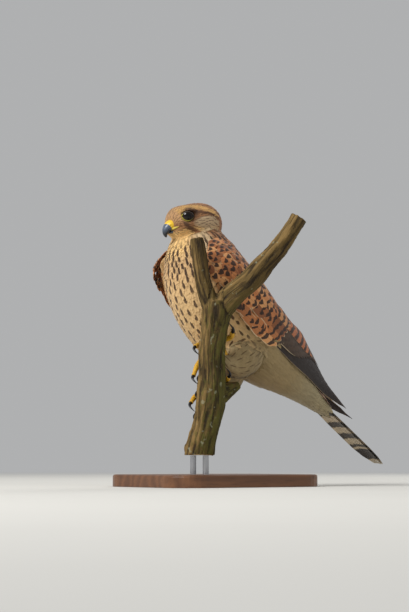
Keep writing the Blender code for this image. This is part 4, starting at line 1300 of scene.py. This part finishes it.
def lid_rings(centre, look, level, high):
    """Rings round the rim of an eye's opening, which comes to a point at both corners."""
    turn = np.linspace(0, 2 * math.pi, 96, endpoint=False)
    wide = np.where(np.sin(turn) > 0, LID_HIGH, LID_LOW)
    opening = np.stack([LID_LONG * np.cos(turn), wide * np.sin(turn)], -1)
    corner = 0.5 * np.exp(-((np.abs(np.cos(turn)) - 1) / 0.04) ** 2)
    opening[:, 0] += np.sign(np.cos(turn)) * corner
    outward = unit(opening)
    rings = []
    for lap in np.linspace(0, 2 * math.pi, 14, endpoint=False):
        flat = opening + outward * (0.5 + 0.5 * math.cos(lap)) * (1 - 0.25 * corner[:, None])
        rho = np.linalg.norm(flat, axis=-1)
        depth = np.sqrt(np.maximum(EYE_RADIUS**2 - rho**2, 0.5)) + 0.2 + 0.3 * math.sin(lap)
        rings.append(centre + level * flat[:, :1] + high * flat[:, 1:] + look * depth[:, None])
    return np.stack(rings, 1)


def make_foot(word):
    """A foot's toes with their scutes and pads, and its claws."""
    palm = LEGS[word]["palm"]
    middle = grip_point(palm, 0, 0, PALM_RADIUS)
    parts = [loft("palm", middle + ball_points(PALM_RADIUS * np.array((1.5, 1.2, 1.7)), 24, 28))]
    claws = []
    for reach, rise in TOES[word].values():
        s = np.linspace(0, 1, 90)
        bulge = TOE_BULGE * np.sin(math.pi * np.minimum(1, s * 1.05)) ** 2
        path = grip_point(palm, reach * s, rise * s, TOE_RADIUS * (0.9 + 0.9 * s) + bulge)
        scutes = 0.055 * ((s * abs(reach) / 7.5) % 1)
        size = TOE_RADIUS * (1.12 - 0.28 * s + 0.07 * np.sin(6 * math.pi * s) + scutes)
        parts.append(loft("toe", tube_rings(path, size, size, 28, TOE_WAY)))
        s = np.linspace(0, 1, 40)
        hook = CLAW_BULGE * np.sin(math.pi * s)
        drop = math.copysign(CLAW_DROP, rise) * s**1.3
        path = grip_point(palm, reach + math.copysign(1, reach) * (CLAW_REACH * s - 4), rise + drop,
                          TOE_RADIUS * 1.8 * (1 - s) + hook + 0.4 * s)
        size = CLAW_RADIUS * (1 - s) ** 0.8 + 0.12
        claws.append(loft("claw", tube_rings(path, size, size * 1.12, 24, TOE_WAY)))
    top = thigh_path(word, 0.72)
    s = np.linspace(0, 1, 70)
    shin = top + (middle - top) * s[:, None]
    scutes = 0.05 * ((s * 14) % 1)
    size = TARSUS_RADIUS * (1.22 - 0.22 * np.sin(math.pi * s) + scutes)
    parts.append(loft("shin", tube_rings(shin, size, size * 1.12, 30)))
    foot = fused("leg_" + word, parts, FOOT_VOXEL, 2)
    grain = np.array([noise.noise(Vector(point) * 0.6) for point in points_of(foot)])
    tinted(foot, mix(LEG_YELLOW, LEG_SHADE, np.clip(0.35 + 0.9 * grain, 0, 1)))
    return foot, joined("claws_" + word, claws)


def bough_ways(along):
    """The two ways across a bough."""
    first = unit(np.cross(along, BOUGH_WAY))
    return first, np.cross(along, first)


def bough_rings(stations, count, sides, ridges, twist, level_ends=False):
    """Rings round a length of branch, with ridges that wind along it."""
    rows = smooth(stations, np.linspace(0, 1, count))
    path = rows[:, :3]
    along = unit(np.gradient(path, axis=0))
    if level_ends:
        along[0] = (0, 0, 1)
    first, second = bough_ways(along)
    turn = np.linspace(0, 2 * math.pi, sides, endpoint=False)[None]
    share = np.arange(count)[:, None] / count
    wind = turn + twist * share
    swell = 1 + BARK_RIDGE * np.sin(ridges * wind) + BARK_LUMP * np.sin(2 * wind + 5 * share)
    size = (rows[:, 3][:, None] * swell)[..., None]
    way = first[:, None] * np.cos(turn)[..., None] + second[:, None] * np.sin(turn)[..., None]
    return path[:, None] + way * size


def along_boughs(points):
    """Where each point of the perch lies across and along its bough, with each bough set well apart."""
    best = np.full(len(points), 1e9)
    fibre = np.zeros((len(points), 3))
    for k, stations in enumerate((TRUNK_STATIONS, STUB_STATIONS, LIMB_STATIONS, SIDE_STUB_STATIONS)):
        rows = smooth(stations, np.linspace(0, 1, 80))
        path, size = rows[:, :3], rows[:, 3]
        travelled = np.concatenate([[0], np.cumsum(np.linalg.norm(np.diff(path, axis=0), axis=-1))])
        gaps = np.linalg.norm(points[:, None] - path[None], axis=-1) / size[None]
        i = gaps.argmin(axis=1)
        gap = gaps[np.arange(len(points)), i]
        nearer = gap < best
        best = np.where(nearer, gap, best)
        along = unit(np.gradient(path, axis=0))[i]
        out = points - path[i]
        out = out - along * (out * along).sum(-1, keepdims=True)
        first, second = bough_ways(along)
        flat = np.stack([(out * first).sum(-1) + 50 * k, (out * second).sum(-1), travelled[i]], -1)
        fibre = np.where(nearer[:, None], flat, fibre)
    return fibre


def fractal(points, scale, shift, *kind):
    """Uneven noise at each of the points."""
    return np.array([noise.fractal(Vector(point), *kind) for point in points * scale + shift])


def make_perch():
    """The cut fork of the branch, with cracked bark, moss on its shaded side and a sawn foot."""
    parts = [
        loft("trunk", bough_rings(TRUNK_STATIONS, 120, 96, 5, 2.4, True)),
        loft("stub", bough_rings(STUB_STATIONS, 70, 72, 3, 1.5)),
        loft("limb", bough_rings(LIMB_STATIONS, 100, 80, 4, 2.0)),
        loft("snag", bough_rings(SIDE_STUB_STATIONS, 50, 72, 4, 1.2)),
        loft("knob", np.array(KNOB_PLACE) + ball_points((4.6, 4.6, 5.2), 20, 24)),
    ]
    perch = fused("perch", parts, PERCH_VOXEL, 2)
    at = points_of(perch)
    way = normals_of(perch)
    fibre = along_boughs(at)
    plates = fractal(fibre, (0.3, 0.3, 0.04), (0, 0, 0), 0.9, 2.2, 4)
    grit = fractal(fibre, (0.5, 0.5, 0.2), (0, 0, 40), 0.8, 2.1, 3)
    cut = (at[:, 2] < TRUNK_STATIONS[0][2] + 0.6) & (way[:, 2] < -0.7)
    rough = np.where(cut, 0.0, 0.8 * plates + 0.35 * grit - 0.1)
    move_points(perch, at + way * np.clip(rough, -1.3, 0.7)[:, None])
    # shade grows where the bark faces away from the light. The bark turns paler where it faces the light:
    # painted light over its own pale plates.
    shade = way @ CAMERA_RIGHT - 0.35 * way[:, 2]
    moss = step(-0.5, 0.6, 0.6 * shade + 0.9 * grit) * step(175, 120, at[:, 2])
    tinted(perch, layered(
        BARK,
        (BARK_PALE_AND_PAINTED_LIGHT, step(-0.1, 0.7, plates - 0.4 * shade)),
        (MOSS, moss * 0.75),
        # Darker where the bark is pushed in: the cracks' own darker bark and painted shade in them.
        (BARK_CRACK_AND_PAINTED_SHADE, step(-0.2, -0.6, plates) * 0.85),
        (SAWN, cut.astype(float)),
    ))
    attribute(perch, "fibre", "FLOAT_VECTOR", fibre)
    return perch


class Number:
    """What a node works out, so that sums of it are written as usual."""

    def __init__(self, nodes, socket):
        self.nodes = nodes
        self.socket = socket

    def __add__(self, other):
        return self.nodes.sum("ADD", self, other)

    def __radd__(self, other):
        return self.nodes.sum("ADD", other, self)

    def __sub__(self, other):
        return self.nodes.sum("SUBTRACT", self, other)

    def __rsub__(self, other):
        return self.nodes.sum("SUBTRACT", other, self)

    def __mul__(self, other):
        return self.nodes.sum("MULTIPLY", self, other)

    def __truediv__(self, other):
        return self.nodes.sum("DIVIDE", self, other)

    def __abs__(self):
        return self.nodes.sum("ABSOLUTE", self)


class Nodes:
    """Builds one material's nodes as short sums."""

    def __init__(self, name, **fixed):
        self.material = bpy.data.materials.new(name)
        self.material.use_nodes = True
        self.tree = self.material.node_tree
        self.shader = self.tree.nodes["Principled BSDF"]
        for socket, value in fixed.items():
            self.shader.inputs[socket.replace("_", " ")].default_value = value

    def put(self, value, socket):
        """Links a node's number to the socket, or gives the socket a plain value."""
        if isinstance(value, Number):
            self.tree.links.new(value.socket, socket)
        else:
            socket.default_value = value if not isinstance(value, np.ndarray) else (*value, 1.0)

    def add(self, kind, values=(), output=0, named=None, **settings):
        """A new node with these settings. Its inputs take the values in order, or by name."""
        node = self.tree.nodes.new("ShaderNode" + kind)
        for name, value in settings.items():
            setattr(node, name, value)
        for value, socket in zip(values, node.inputs):
            self.put(value, socket)
        for name, value in (named or {}).items():
            self.put(value, node.inputs[name])
        return Number(self, node.outputs[output])

    def sum(self, kind, *values):
        """One step of arithmetic."""
        return self.add("Math", values, operation=kind)

    def ease(self, value, low, high, start=0.0, end=1.0):
        """Goes smoothly from start to end while the value goes from low to high."""
        return self.add("MapRange", (value, low, high, start, end), interpolation_type="SMOOTHSTEP")

    def far(self, one, two):
        """How far the place is from nought, with one and two as its sides."""
        return self.sum("SQRT", self.sum("POWER", one, 2.0) + self.sum("POWER", two, 2.0))

    def blend(self, share, first, second):
        """The first colour, with the second in its place by the share."""
        return self.add("Mix", output=2, named={"Factor": share, 6: first, 7: second}, data_type="RGBA")

    def stored(self, name, output="Vector"):
        """What the piece stores under this name."""
        return self.add("Attribute", output=output, attribute_name=name)

    def tone(self, name="tone"):
        """A colour that the piece stores."""
        return self.stored(name, "Color")

    def numbers(self, name):
        """The three numbers that the piece stores under this name."""
        node = self.add("SeparateXYZ", (self.stored(name),)).socket.node
        return tuple(Number(self, socket) for socket in node.outputs)

    def place(self, scale=(1, 1, 1), where=None):
        """The place on the object, drawn out by the scale."""
        where = where or self.add("TexCoord", output="Object")
        return self.add("Mapping", (where,), named={"Scale": scale})

    def grain(self, scale, detail=3.0, stretch=(1, 1, 1), where=None):
        """Uneven noise from 0 to 1."""
        named = {"Scale": scale, "Detail": detail}
        return self.add("TexNoise", (self.place(stretch, where),), "Fac", named)

    def speckle(self, scale, detail, amount):
        """Grain to both sides of nought."""
        return (self.grain(scale, detail) - 0.5) * amount

    def cells(self, scale, stretch):
        """How far the place is from the border of its cell."""
        named = {"Scale": scale}
        return self.add("TexVoronoi", (self.place(stretch),), "Distance", named, feature="DISTANCE_TO_EDGE")

    def distance(self):
        """How far the place is from the object's origin, in metres."""
        return self.add("VectorMath", (self.place(),), "Value", operation="LENGTH")

    def scaled(self, tone, amount):
        """The colour made lighter or darker by a factor."""
        return self.add("VectorMath", (tone,), named={"Scale": amount}, operation="SCALE")

    def shade(self, colour_out, roughness, height=None, strength=0.4, distance=0.0002):
        """Gives the shader its colour, its roughness and its fine relief."""
        self.put(colour_out, self.shader.inputs["Base Color"])
        self.put(roughness, self.shader.inputs["Roughness"])
        if height is not None:
            bump = self.add("Bump", named={"Strength": strength, "Distance": distance, "Height": height})
            self.put(bump, self.shader.inputs["Normal"])
        return self.material


def barbs(n, x, y):
    """Fine slanting lines on both sides of a feather's shaft."""
    return n.sum("SINE", (x - abs(y) * 1.15) * (2 * math.pi / BARB_STEP))


def small_plumage():
    """The small feathers, with the dark marks that run over several of them."""
    n = Nodes("plumage", Specular_IOR_Level=0.2, Sheen_Weight=0.12, Sheen_Roughness=0.5)
    x, y, strength = n.numbers("spot")
    long, wide, rnd = n.numbers("size")
    own_x, own_y, share = n.numbers("vane")
    reach = x / long
    swell = 1.0 + n.sum("MAXIMUM", n.sum("MINIMUM", reach, 1.0), -1.0) * 0.45
    ragged = n.far(reach, y / (wide * swell)) + n.speckle(900, 2, 0.4)
    mark = n.ease(ragged, 0.7, 1.15, 1.0, 0.0) * strength
    lines = barbs(n, own_x, own_y)
    value = 0.90 + rnd * 0.16 + lines * 0.03 + n.speckle(120, 2, 0.22) + n.ease(share, 0.7, 1.0, 0.0, 0.08)
    tone = n.scaled(n.blend(mark, n.tone(), n.tone("ink")), value)
    return n.shade(tone, n.ease(n.grain(500, 2), 0.2, 0.8, 0.55, 0.8), lines, 0.25, 0.00012)


def large_plumage():
    """The large feathers, each with its bars or spots, its tail band, its pale fringe and its shaft."""
    n = Nodes("vanes", Specular_IOR_Level=0.3, Sheen_Weight=0.08, Sheen_Roughness=0.5)
    from_tip, across, strength = n.numbers("spot")
    spacing, share, slant = n.numbers("size")
    low, high, tip_trim = n.numbers("band")
    x, v, rnd = n.numbers("vane")
    side_trim, spotty, trimmed = n.numbers("trim_size")
    wobble = n.speckle(350, 3, 2.2)
    bent = from_tip + wobble - abs(across) * slant
    phase = n.sum("FRACT", (bent - rnd * 2.2) / spacing)
    ragged = n.far((phase - 0.5) / (share * 0.5), v / 0.62 * spotty) + n.speckle(700, 4, 1.1)
    bar = n.ease(ragged, 0.82, 1.14, 1.0, 0.0) * strength
    band = n.ease(bent, low - 0.4, low + 0.4) * n.ease(bent, high - 0.6, high + 0.6, 1.0, 0.0)
    clear = n.sum("MAXIMUM", n.ease(bent, high + 2.0, high + 4.0), n.sum("LESS_THAN", high, 0.5))
    mark = n.sum("MAXIMUM", bar * clear, band)
    edge = n.ease(abs(v), 1.0 - side_trim, 1.03 - side_trim * 0.5)
    tip = n.ease(from_tip + wobble * 0.5, tip_trim * 0.8, tip_trim, 1.0, 0.0)
    lines = barbs(n, x, across)
    shaft = n.ease(abs(across), 0.12, 0.34, 1.0, 0.0)
    tone = n.blend(mark, n.tone(), n.tone("ink"))
    tone = n.blend(n.sum("MAXIMUM", edge, tip) * trimmed, tone, n.tone("trim"))
    tone = n.blend(shaft * 0.3, tone, UMBER)
    value = 0.88 + rnd * 0.2 + lines * 0.04 + n.speckle(90, 3, 0.25)
    rough = n.ease(n.grain(400, 2), 0.2, 0.8, 0.42, 0.65)
    return n.shade(n.scaled(tone, value), rough, lines * 0.4 + shaft * 1.5, 0.3, 0.00012)


def tinted_material(name, rough, grain_scale, depth, strength=0.4, **fixed):
    """A material that reads the piece's own colours and adds fine grain."""
    n = Nodes(name, **fixed)
    fine = n.grain(grain_scale, 4)
    value = 0.82 + (fine * 0.16 + n.grain(grain_scale / 6, 3) * 0.2)
    return n.shade(n.scaled(n.tone(), value), n.ease(fine, 0.25, 0.75, *rough), fine, strength, depth)


def scaled_skin():
    """The yellow skin of the legs, with its small scales."""
    n = Nodes("scutes", Specular_IOR_Level=0.45)
    cells = n.cells(900, (1, 1, 0.7))
    tone = n.blend(n.ease(cells, 0.0, 0.10, 1.0, 0.0) * 0.4, n.tone(), LEG_DARK)
    rough = n.ease(n.grain(600, 2), 0.2, 0.8, 0.35, 0.55)
    return n.shade(tone, rough, n.ease(cells, 0.0, 0.25), 0.5, 0.00025)


def bark():
    """Bark whose threads and cracks run along each bough, with patches of lichen."""
    n = Nodes("bark", Specular_IOR_Level=0.15)
    threads = n.grain(1.1, 4, (1, 1, 0.07), n.stored("fibre"))
    crack_and_painted_shade = n.ease(n.grain(0.4, 3, (1, 1, 0.05), n.stored("fibre")), 0.40, 0.46, 1.0, 0.0)
    broad = n.grain(60, 4)
    value = 0.30 + (threads * 0.8 + broad * 0.55)
    # The cracks, sunk by the relief, are darkened: their own darker bark and painted shade in them.
    tone = n.blend(crack_and_painted_shade * 0.6, n.scaled(n.tone(), value), BARK_CRACK_AND_PAINTED_SHADE)
    tone = n.blend(n.ease(n.grain(180, 5), 0.63, 0.70, 0.0, 0.4), tone, LICHEN)
    height = threads + broad * 0.5 - crack_and_painted_shade * 0.8
    return n.shade(tone, n.ease(threads, 0.2, 0.8, 0.75, 0.95), height, 0.7, 0.0008)


def wood():
    """Oiled walnut with wavy rings and fine pores along the base."""
    n = Nodes("walnut", Specular_IOR_Level=0.4, Coat_Weight=0.15, Coat_Roughness=0.3)
    shape = {"Scale": 26, "Distortion": 11, "Detail": 4, "Detail Scale": 1.6}
    rings = n.add("TexWave", (n.place((1, 0.12, 1)),), "Fac", shape, wave_type="BANDS", bands_direction="X")
    pores = n.grain(900, 3, (1, 0.06, 1))
    tone = n.blend(rings * 0.55 + n.grain(40, 4, (1, 0.1, 1)) * 0.5, WOOD_DARK, WOOD_LIGHT)
    tone = n.blend(n.ease(pores, 0.55, 0.72, 0.0, 0.45), tone, WOOD_PORE)
    return n.shade(tone, n.ease(pores, 0.3, 0.7, 0.34, 0.5), pores, 0.15, 0.0002)


def steel():
    """Brushed steel, with fine lines along the rods."""
    n = Nodes("brushed_steel", Metallic=1.0)
    lines = n.grain(1500, 2, (1, 1, 0.03))
    tone = n.blend(lines, STEEL_DARK, STEEL_LIGHT)
    return n.shade(tone, n.ease(lines, 0.2, 0.8, 0.24, 0.4), lines, 0.12, 0.00005)


def skin_material():
    """The down that shows between the feathers."""
    n = Nodes("down", Specular_IOR_Level=0.1)
    fluff = n.grain(700, 4)
    rough = n.ease(fluff, 0.2, 0.8, 0.75, 0.95)
    return n.shade(n.scaled(n.tone(), 0.7 + fluff * 0.45), rough, fluff, 0.5, 0.0004)


def sunk_eyes(skin):
    """Draws the skin in a little round each eye."""
    at = points_of(skin)
    for _, side in SIDES:
        centre, look, level, high = eye_frame(side)
        local = at - centre
        off = np.hypot(local @ level, local @ high)
        outer = step(0.0, 2.0, local @ look)
        at = at - look * (1.5 * outer * (1 - step(3.6, 7.0, off)))[:, None]
    move_points(skin, at)


def places():
    """Every place where a small feather could grow: where, which way it lies, and its look."""
    _, _, roots = scattered(head_surface, HEAD_SPAN, ALL_ROUND, (40, 60), HEAD_TRIES)
    found = [(roots, head_ways(roots), head_look(roots))]
    row, turn, roots = scattered(body_surface, BODY_SPAN, ALL_ROUND, (90, 70), BODY_TRIES)
    found.append((roots, unit(body_surface(row + 0.05, turn) - roots), body_look(row, turn)))
    for word, _ in SIDES:
        surface = partial(thigh_surface, word)
        share, turn, roots = scattered(surface, THIGH_SPAN, ALL_ROUND, (30, 30), THIGH_TRIES)
        ways = unit(surface(np.minimum(share + 0.02, 1), turn) - surface(share - 0.01, turn))
        found.append((roots, ways, thigh_look(share)))
    return found


def head_ways(roots):
    """The lie of the head's feathers: they spread from the bill, run back, and turn down the neck."""
    f = to_head(roots)[1]
    back = np.broadcast_to(HEAD @ np.array([0, 1.0, 0]), roots.shape)
    along = body_frame(np.full(len(roots), 2.0))[1]
    ways = unit(mix(back, along, 0.75 * step(-6, -22, f)))
    spread_out = unit(roots - on_head(0.0, 19.0, -2.0))
    return unit(mix(ways, spread_out, step(8, 14, f)))


def bare_places(ground, covered):
    """Places on the skin that the smooth surfaces leave bare: brows, round the bill, and folded arms."""
    corners = ground.points[ground.corners]
    one, two = corners[:, 1] - corners[:, 0], corners[:, 2] - corners[:, 0]
    area = np.linalg.norm(np.cross(one, two), axis=-1)
    pick = RNG.choice(len(area), BARE_TRIES, p=area / area.sum())
    a, b = RNG.random((2, len(pick), 1))
    over = a + b > 1
    a, b = np.where(over, 1 - a, a), np.where(over, 1 - b, b)
    roots = corners[pick, 0] + one[pick] * a + two[pick] * b
    bare = np.linalg.norm(covered[nearest(covered, roots)] - roots, axis=-1) > BARE_GAP
    r = to_head(roots)[2]
    face = roots[bare & (r > HEAD_RISE)]
    yield face, head_ways(face), head_look(face)
    roots = roots[bare & (r < HEAD_RISE)]
    share, height = np.meshgrid(np.linspace(0, 0.6, 60), np.linspace(0, 1, 16), indexing="ij")
    ways, aside, outer = np.zeros_like(roots), np.zeros_like(roots), np.zeros(len(roots))
    best, reach = np.full(len(roots), 1e9), np.zeros(len(roots))
    for _, side in SIDES:
        sheet, along, _, out = (part.reshape(-1, 3) for part in wing_sheet(share, height, side))
        near = nearest(sheet, roots)
        far = np.linalg.norm(sheet[near] - roots, axis=-1)
        closer = far < best
        best = np.where(closer, far, best)
        ways = np.where(closer[:, None], along[near], ways)
        aside = np.where(closer[:, None], out[near], aside)
        facing = (ground.snap(roots)[1] * out[near]).sum(-1)
        outer = np.where(closer, facing, outer)
        reach = np.where(closer, share.ravel()[near], reach)
    chosen = (best < ARM_FAR) & (reach < ARM_REACH)
    roots, ways, outer, reach, aside = (values[chosen] for values in (roots, ways, outer, reach, aside))
    down = body_frame(np.full(len(roots), 3.0))[1]
    ways = unit(mix(ways + aside * 0.6, down, step(0.2, -0.2, outer)))
    look = Look(len(roots))
    outside = step(-0.5, 0.1, outer) * step(0.24, 0.14, reach)
    look.tone = mix(BUFF, rufous_tones(len(roots)), outside)
    look.mark = np.stack([2.0 + 0 * outside, 0.5 + 0.5 * outside, 0.4 + 0.5 * outside], -1)
    look.mark_gap[:] = 4.2
    bend = step(0.12, 0.03, reach)
    look.length = 7.5 - 3.2 * bend
    look.width = 3.2 - 0.8 * bend
    look.gap = 1.4 - 0.35 * bend
    look.lift[:] = 0.9
    look.fray[:] = 0.8
    yield roots, ways, look


def thigh_surface(word, share, turn):
    """Points on the leg's feathered part."""
    share, turn = np.broadcast_arrays(np.asarray(share, float), np.asarray(turn, float))
    path = thigh_path(word, share)
    along = unit(thigh_path(word, share + 0.01) - thigh_path(word, share - 0.01))
    side = unit(X_WAY - along * along[..., :1])
    rise = np.cross(side, along)
    wide, tall = thigh_sizes(share)
    return path + side * (wide * np.sin(turn))[..., None] + rise * (tall * np.cos(turn))[..., None]


def gathered(looks):
    """One look from several."""
    whole = Look(0)
    for key in vars(looks[0]):
        setattr(whole, key, np.concatenate([getattr(look, key) for look in looks]))
    return whole


def under_wing(points, normals):
    """Which places lie beneath a folded wing's feathers, and face the same way."""
    share, height = np.meshgrid(np.linspace(0.1, 1.0, 120), np.linspace(0.1, 0.95, 28), indexing="ij")
    far_back = (share > 0.36) & (height > 0.2)
    hidden = np.zeros(len(points), bool)
    for _, side in SIDES:
        sheet, _, _, out = (part.reshape(-1, 3) for part in wing_sheet(share, height, side))
        near = nearest(sheet, points)
        away = points - sheet[near]
        depth = (away * out[near]).sum(-1)
        aside = np.linalg.norm(away - out[near] * depth[:, None], axis=-1)
        facing = ((normals * out[near]).sum(-1) > 0.3) | (share.ravel()[near] > 0.3)
        deepest = np.where(far_back.ravel()[near], -8.0, -3.0)
        hidden |= facing & (depth < 2.5) & (depth > deepest) & (aside < 1.5)
    return hidden


def in_perch(points, perch):
    """Which points lie in the perch or just above its bark."""
    tree = BVHTree.FromPolygons(points_of(perch).tolist(), [tuple(p.vertices) for p in perch.data.polygons])
    inside = np.zeros(len(points), bool)
    for i, point in enumerate(points.tolist()):
        at, normal, _, far = tree.find_nearest(point)
        inside[i] = (Vector(point) - at).dot(normal) < BARK_GAP and far < BARK_NEAR
    return inside


def build_bird(perch):
    """The skin, the small feathers on it, and the large ones of back, wings and tail."""
    skin = skin_ground()
    sunk_eyes(skin)
    unwrapped(skin)
    ground = Ground(skin)
    found = places()
    found += bare_places(ground, np.concatenate([part[0] for part in found]))
    roots, ways = (np.concatenate([part[i] for part in found]) for i in (0, 1))
    look = gathered([part[2] for part in found])
    snapped, _, off, _ = ground.snap(roots)
    good = (off > DEEPEST) & (eye_distance(roots) > EYE_CLEAR) & ~on_bill(roots)
    roots, ways, look = snapped[good], ways[good], look.of(good)
    spots = thinned(roots, look.mark_gap)
    marks = (roots[spots], ways[spots])
    kept = thinned(roots, look.gap)
    kept = kept[~in_perch(roots[kept], perch) & ~under_wing(roots[kept], ground.snap(roots[kept])[1])]
    ends = trails(ground, roots[kept], ways[kept], look.length[kept], np.linspace(0, 1, 4))[0][:, -1, 0]
    kept = kept[ground.snap(ends)[2] < FREE_TIP]
    roots, ways, look = roots[kept], ways[kept], look.of(kept)
    # The skin takes its nearest feather's colour, darkened: partly the down's duller colour, partly painted
    # shade under the feathers.
    tinted(skin, look.tone[nearest(roots, points_of(skin))] * 0.8)
    head = look.width < FINE_WIDTH
    for name, group, stations, columns in (("head", head, 4, 5), ("body", ~head, 5, 7)):
        members = np.flatnonzero(group)
        members = members[np.argsort(roots[members, 1])]
        for i, chosen in enumerate(np.array_split(members, math.ceil(len(members) / MOST_IN_PIECE))):
            part = grow(f"coat_{name}_{i + 1}", ground, roots[chosen], ways[chosen], look.of(chosen), marks,
                        stations, columns)
            dressed(part, SMALL, "crown" if name == "head" else "breast", CRISP_FOLD)
    dressed(make_mantle(ground), LARGE, "wing", CRISP_FOLD)
    for word, side in SIDES:
        parts = make_wing(word, side, ground)
        for part in parts:
            dressed(part, LARGE, "wing", CRISP_FOLD)
        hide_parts("wing_" + word)
    tail = dressed(make_tail_feathers(ground), LARGE, "tail", CRISP_FOLD)
    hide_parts("tail")
    dressed(skin, DOWN, "breast", SKIN_FOLD)
    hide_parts("head", "neck", "torso", "thigh_left", "thigh_right")


def on_bill(points):
    """Which points lie where the cere, the bill or the mouth's corners are."""
    across, f, r = to_head(points)
    cere = np.hypot(across / 5.5, (r + 1.4) / 4.6) < 1
    mouth = np.hypot(across / 3.8, (r + 7.2) / 2.2) < 1
    lips = np.concatenate([gape_path(side, np.linspace(0, 1, 24)) for _, side in SIDES])
    beside = np.linalg.norm(lips[nearest(lips, points)] - points, axis=-1) < 1.1
    return (f > 14.0) & (cere | mouth) | beside


def make_mantle(ground):
    """The large barred feathers of the back and shoulders."""
    row, turn, roots = scattered(body_surface, MANTLE_SPAN, MANTLE_TURN, (70, 60), MANTLE_TRIES)
    ways = unit(body_surface(row + 0.05, turn) - roots)
    size = 0.62 + 0.38 * step(2.0, 4.0, row)
    good = (ground.snap(roots)[2] > -3.5) & (np.abs(turn) < 1.6 - 0.75 * step(3.8, 6.2, row))
    roots, ways, size, row = (values[good] for values in (roots, ways, size, row))
    kept = thinned(roots, 6.4 * size)
    roots, ways, size, row = (values[kept] for values in (roots, ways, size, row))
    count = len(roots)
    rows = np.zeros((count, 7))
    rows[:, 4] = 13.0 * size * RNG.uniform(0.9, 1.1, count)
    rows[:, 5] = 1.8
    rows[:, 6] = 23.0 * size * RNG.uniform(0.9, 1.15, count)
    tone = mix(rufous_tones(count), RUMP, step(6.4, 7.6, row))
    lay = mantle_lay(ground, roots, ways)
    return lay_vanes("coat_mantle", Vanes(rows, tone=tone, **MANTLE_KIND), lay, ground.charts(roots))


def build_rest():
    """The bill, eyes and feet."""
    upper, lower, cere, gape = make_bill()
    horn = tinted_material("horn", (0.22, 0.38), 500, 0.00008, 0.3, Specular_IOR_Level=0.5)
    waxy = tinted_material("cere", (0.32, 0.5), 1400, 0.00012, 0.45, Specular_IOR_Level=0.45)
    dressed(upper, horn, "bill", CRISP_FOLD)
    dressed(lower, horn, "bill", CRISP_FOLD)
    dressed(cere, waxy, "cere", CRISP_FOLD)
    dressed(gape, waxy, "cere", CRISP_FOLD)
    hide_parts("bill_upper")
    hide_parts("bill_lower")
    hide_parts("cere")
    gloss = tinted_material("eye", (0.03, 0.06), 300, 0.00001, 0.05, Specular_IOR_Level=0.3)
    scutes = scaled_skin()
    nail = tinted_material("claw", (0.22, 0.38), 600, 0.00006, 0.3, Specular_IOR_Level=0.5)
    for word, side in SIDES:
        ball, lid = make_eye(word, side)
        dressed(ball, gloss, "eye")
        dressed(lid, waxy, "crown")
        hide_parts("eye_" + word)
        foot, claws = make_foot(word)
        tinted(claws, CLAW)
        dressed(foot, scutes, "cere")
        dressed(claws, nail, "claw")
        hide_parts("foot_" + word, "tarsus_" + word)
        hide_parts(*(f"claw_{word}_{toe}" for toe in TOES[word]))


def build_stage():
    """The pale floor that fades into the air, the three lamps, and the camera where the photo's stood."""
    floor = bpy.data.meshes.new("floor")
    turn = np.linspace(0, 2 * math.pi, 96, endpoint=False)
    ring = np.stack([np.cos(turn), np.sin(turn), 0 * turn], -1) * FLOOR_RADIUS
    floor.from_pydata([(x, y, -FLOOR_DROP) for x, y, _ in ring], [], [list(range(len(ring)))])
    ground = linked("floor", floor)
    n = Nodes("floor", Specular_IOR_Level=0.0)
    tone = n.blend(n.grain(3, 3), FLOOR_DARK, FLOOR_LIGHT)
    far = n.distance()
    n.put(n.ease(far, *FLOOR_FADE, 0.0, WORLD_STRENGTH), n.shader.inputs["Emission Strength"])
    n.put(WORLD_TONE, n.shader.inputs["Emission Color"])
    ground.data.materials.append(n.shade(n.scaled(tone, n.ease(far, *FLOOR_FADE, 1.0, 0.0)), 0.9))
    target = Vector(CAMERA_TARGET) * MM
    for name, place, size, power in LIGHTS:
        light = bpy.data.lights.new(name, "AREA")
        light.shape = "DISK"
        light.size = size
        light.energy = power
        lamp = linked(name, light)
        lamp.location = place
        lamp.rotation_euler = (target - Vector(place)).to_track_quat("-Z", "Y").to_euler()
        lamp.visible_glossy = name == "key"
    world = bpy.data.worlds.new("studio")
    world.use_nodes = True
    back = world.node_tree.nodes["Background"]
    back.inputs["Color"].default_value = WORLD_TONE
    back.inputs["Strength"].default_value = WORLD_STRENGTH
    scene = bpy.context.scene
    scene.world = world
    scene.view_settings.view_transform = "Standard"
    camera = bpy.data.cameras.new("camera")
    camera.sensor_fit = "VERTICAL"
    camera.sensor_height = 36
    camera.lens = CAMERA_LENS
    camera.clip_end = 100
    view = linked("camera", camera)
    view.location = Vector(CAMERA_PLACE) * MM
    view.rotation_euler = (target - view.location).to_track_quat("-Z", "Y").to_euler()
    scene.camera = view


SMALL = small_plumage()
LARGE = large_plumage()
DOWN = skin_material()
perch = dressed(make_perch(), bark(), "bark", BARK_FOLD)
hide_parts("perch_trunk", "perch_limb", "perch_snag")
build_bird(perch)
build_rest()
for node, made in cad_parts.items():
    if node.startswith("stand_"):
        kind = wood() if node == "stand_base" else steel()
        made.data.materials.clear()
        made.data.materials.append(kind)
build_stage()
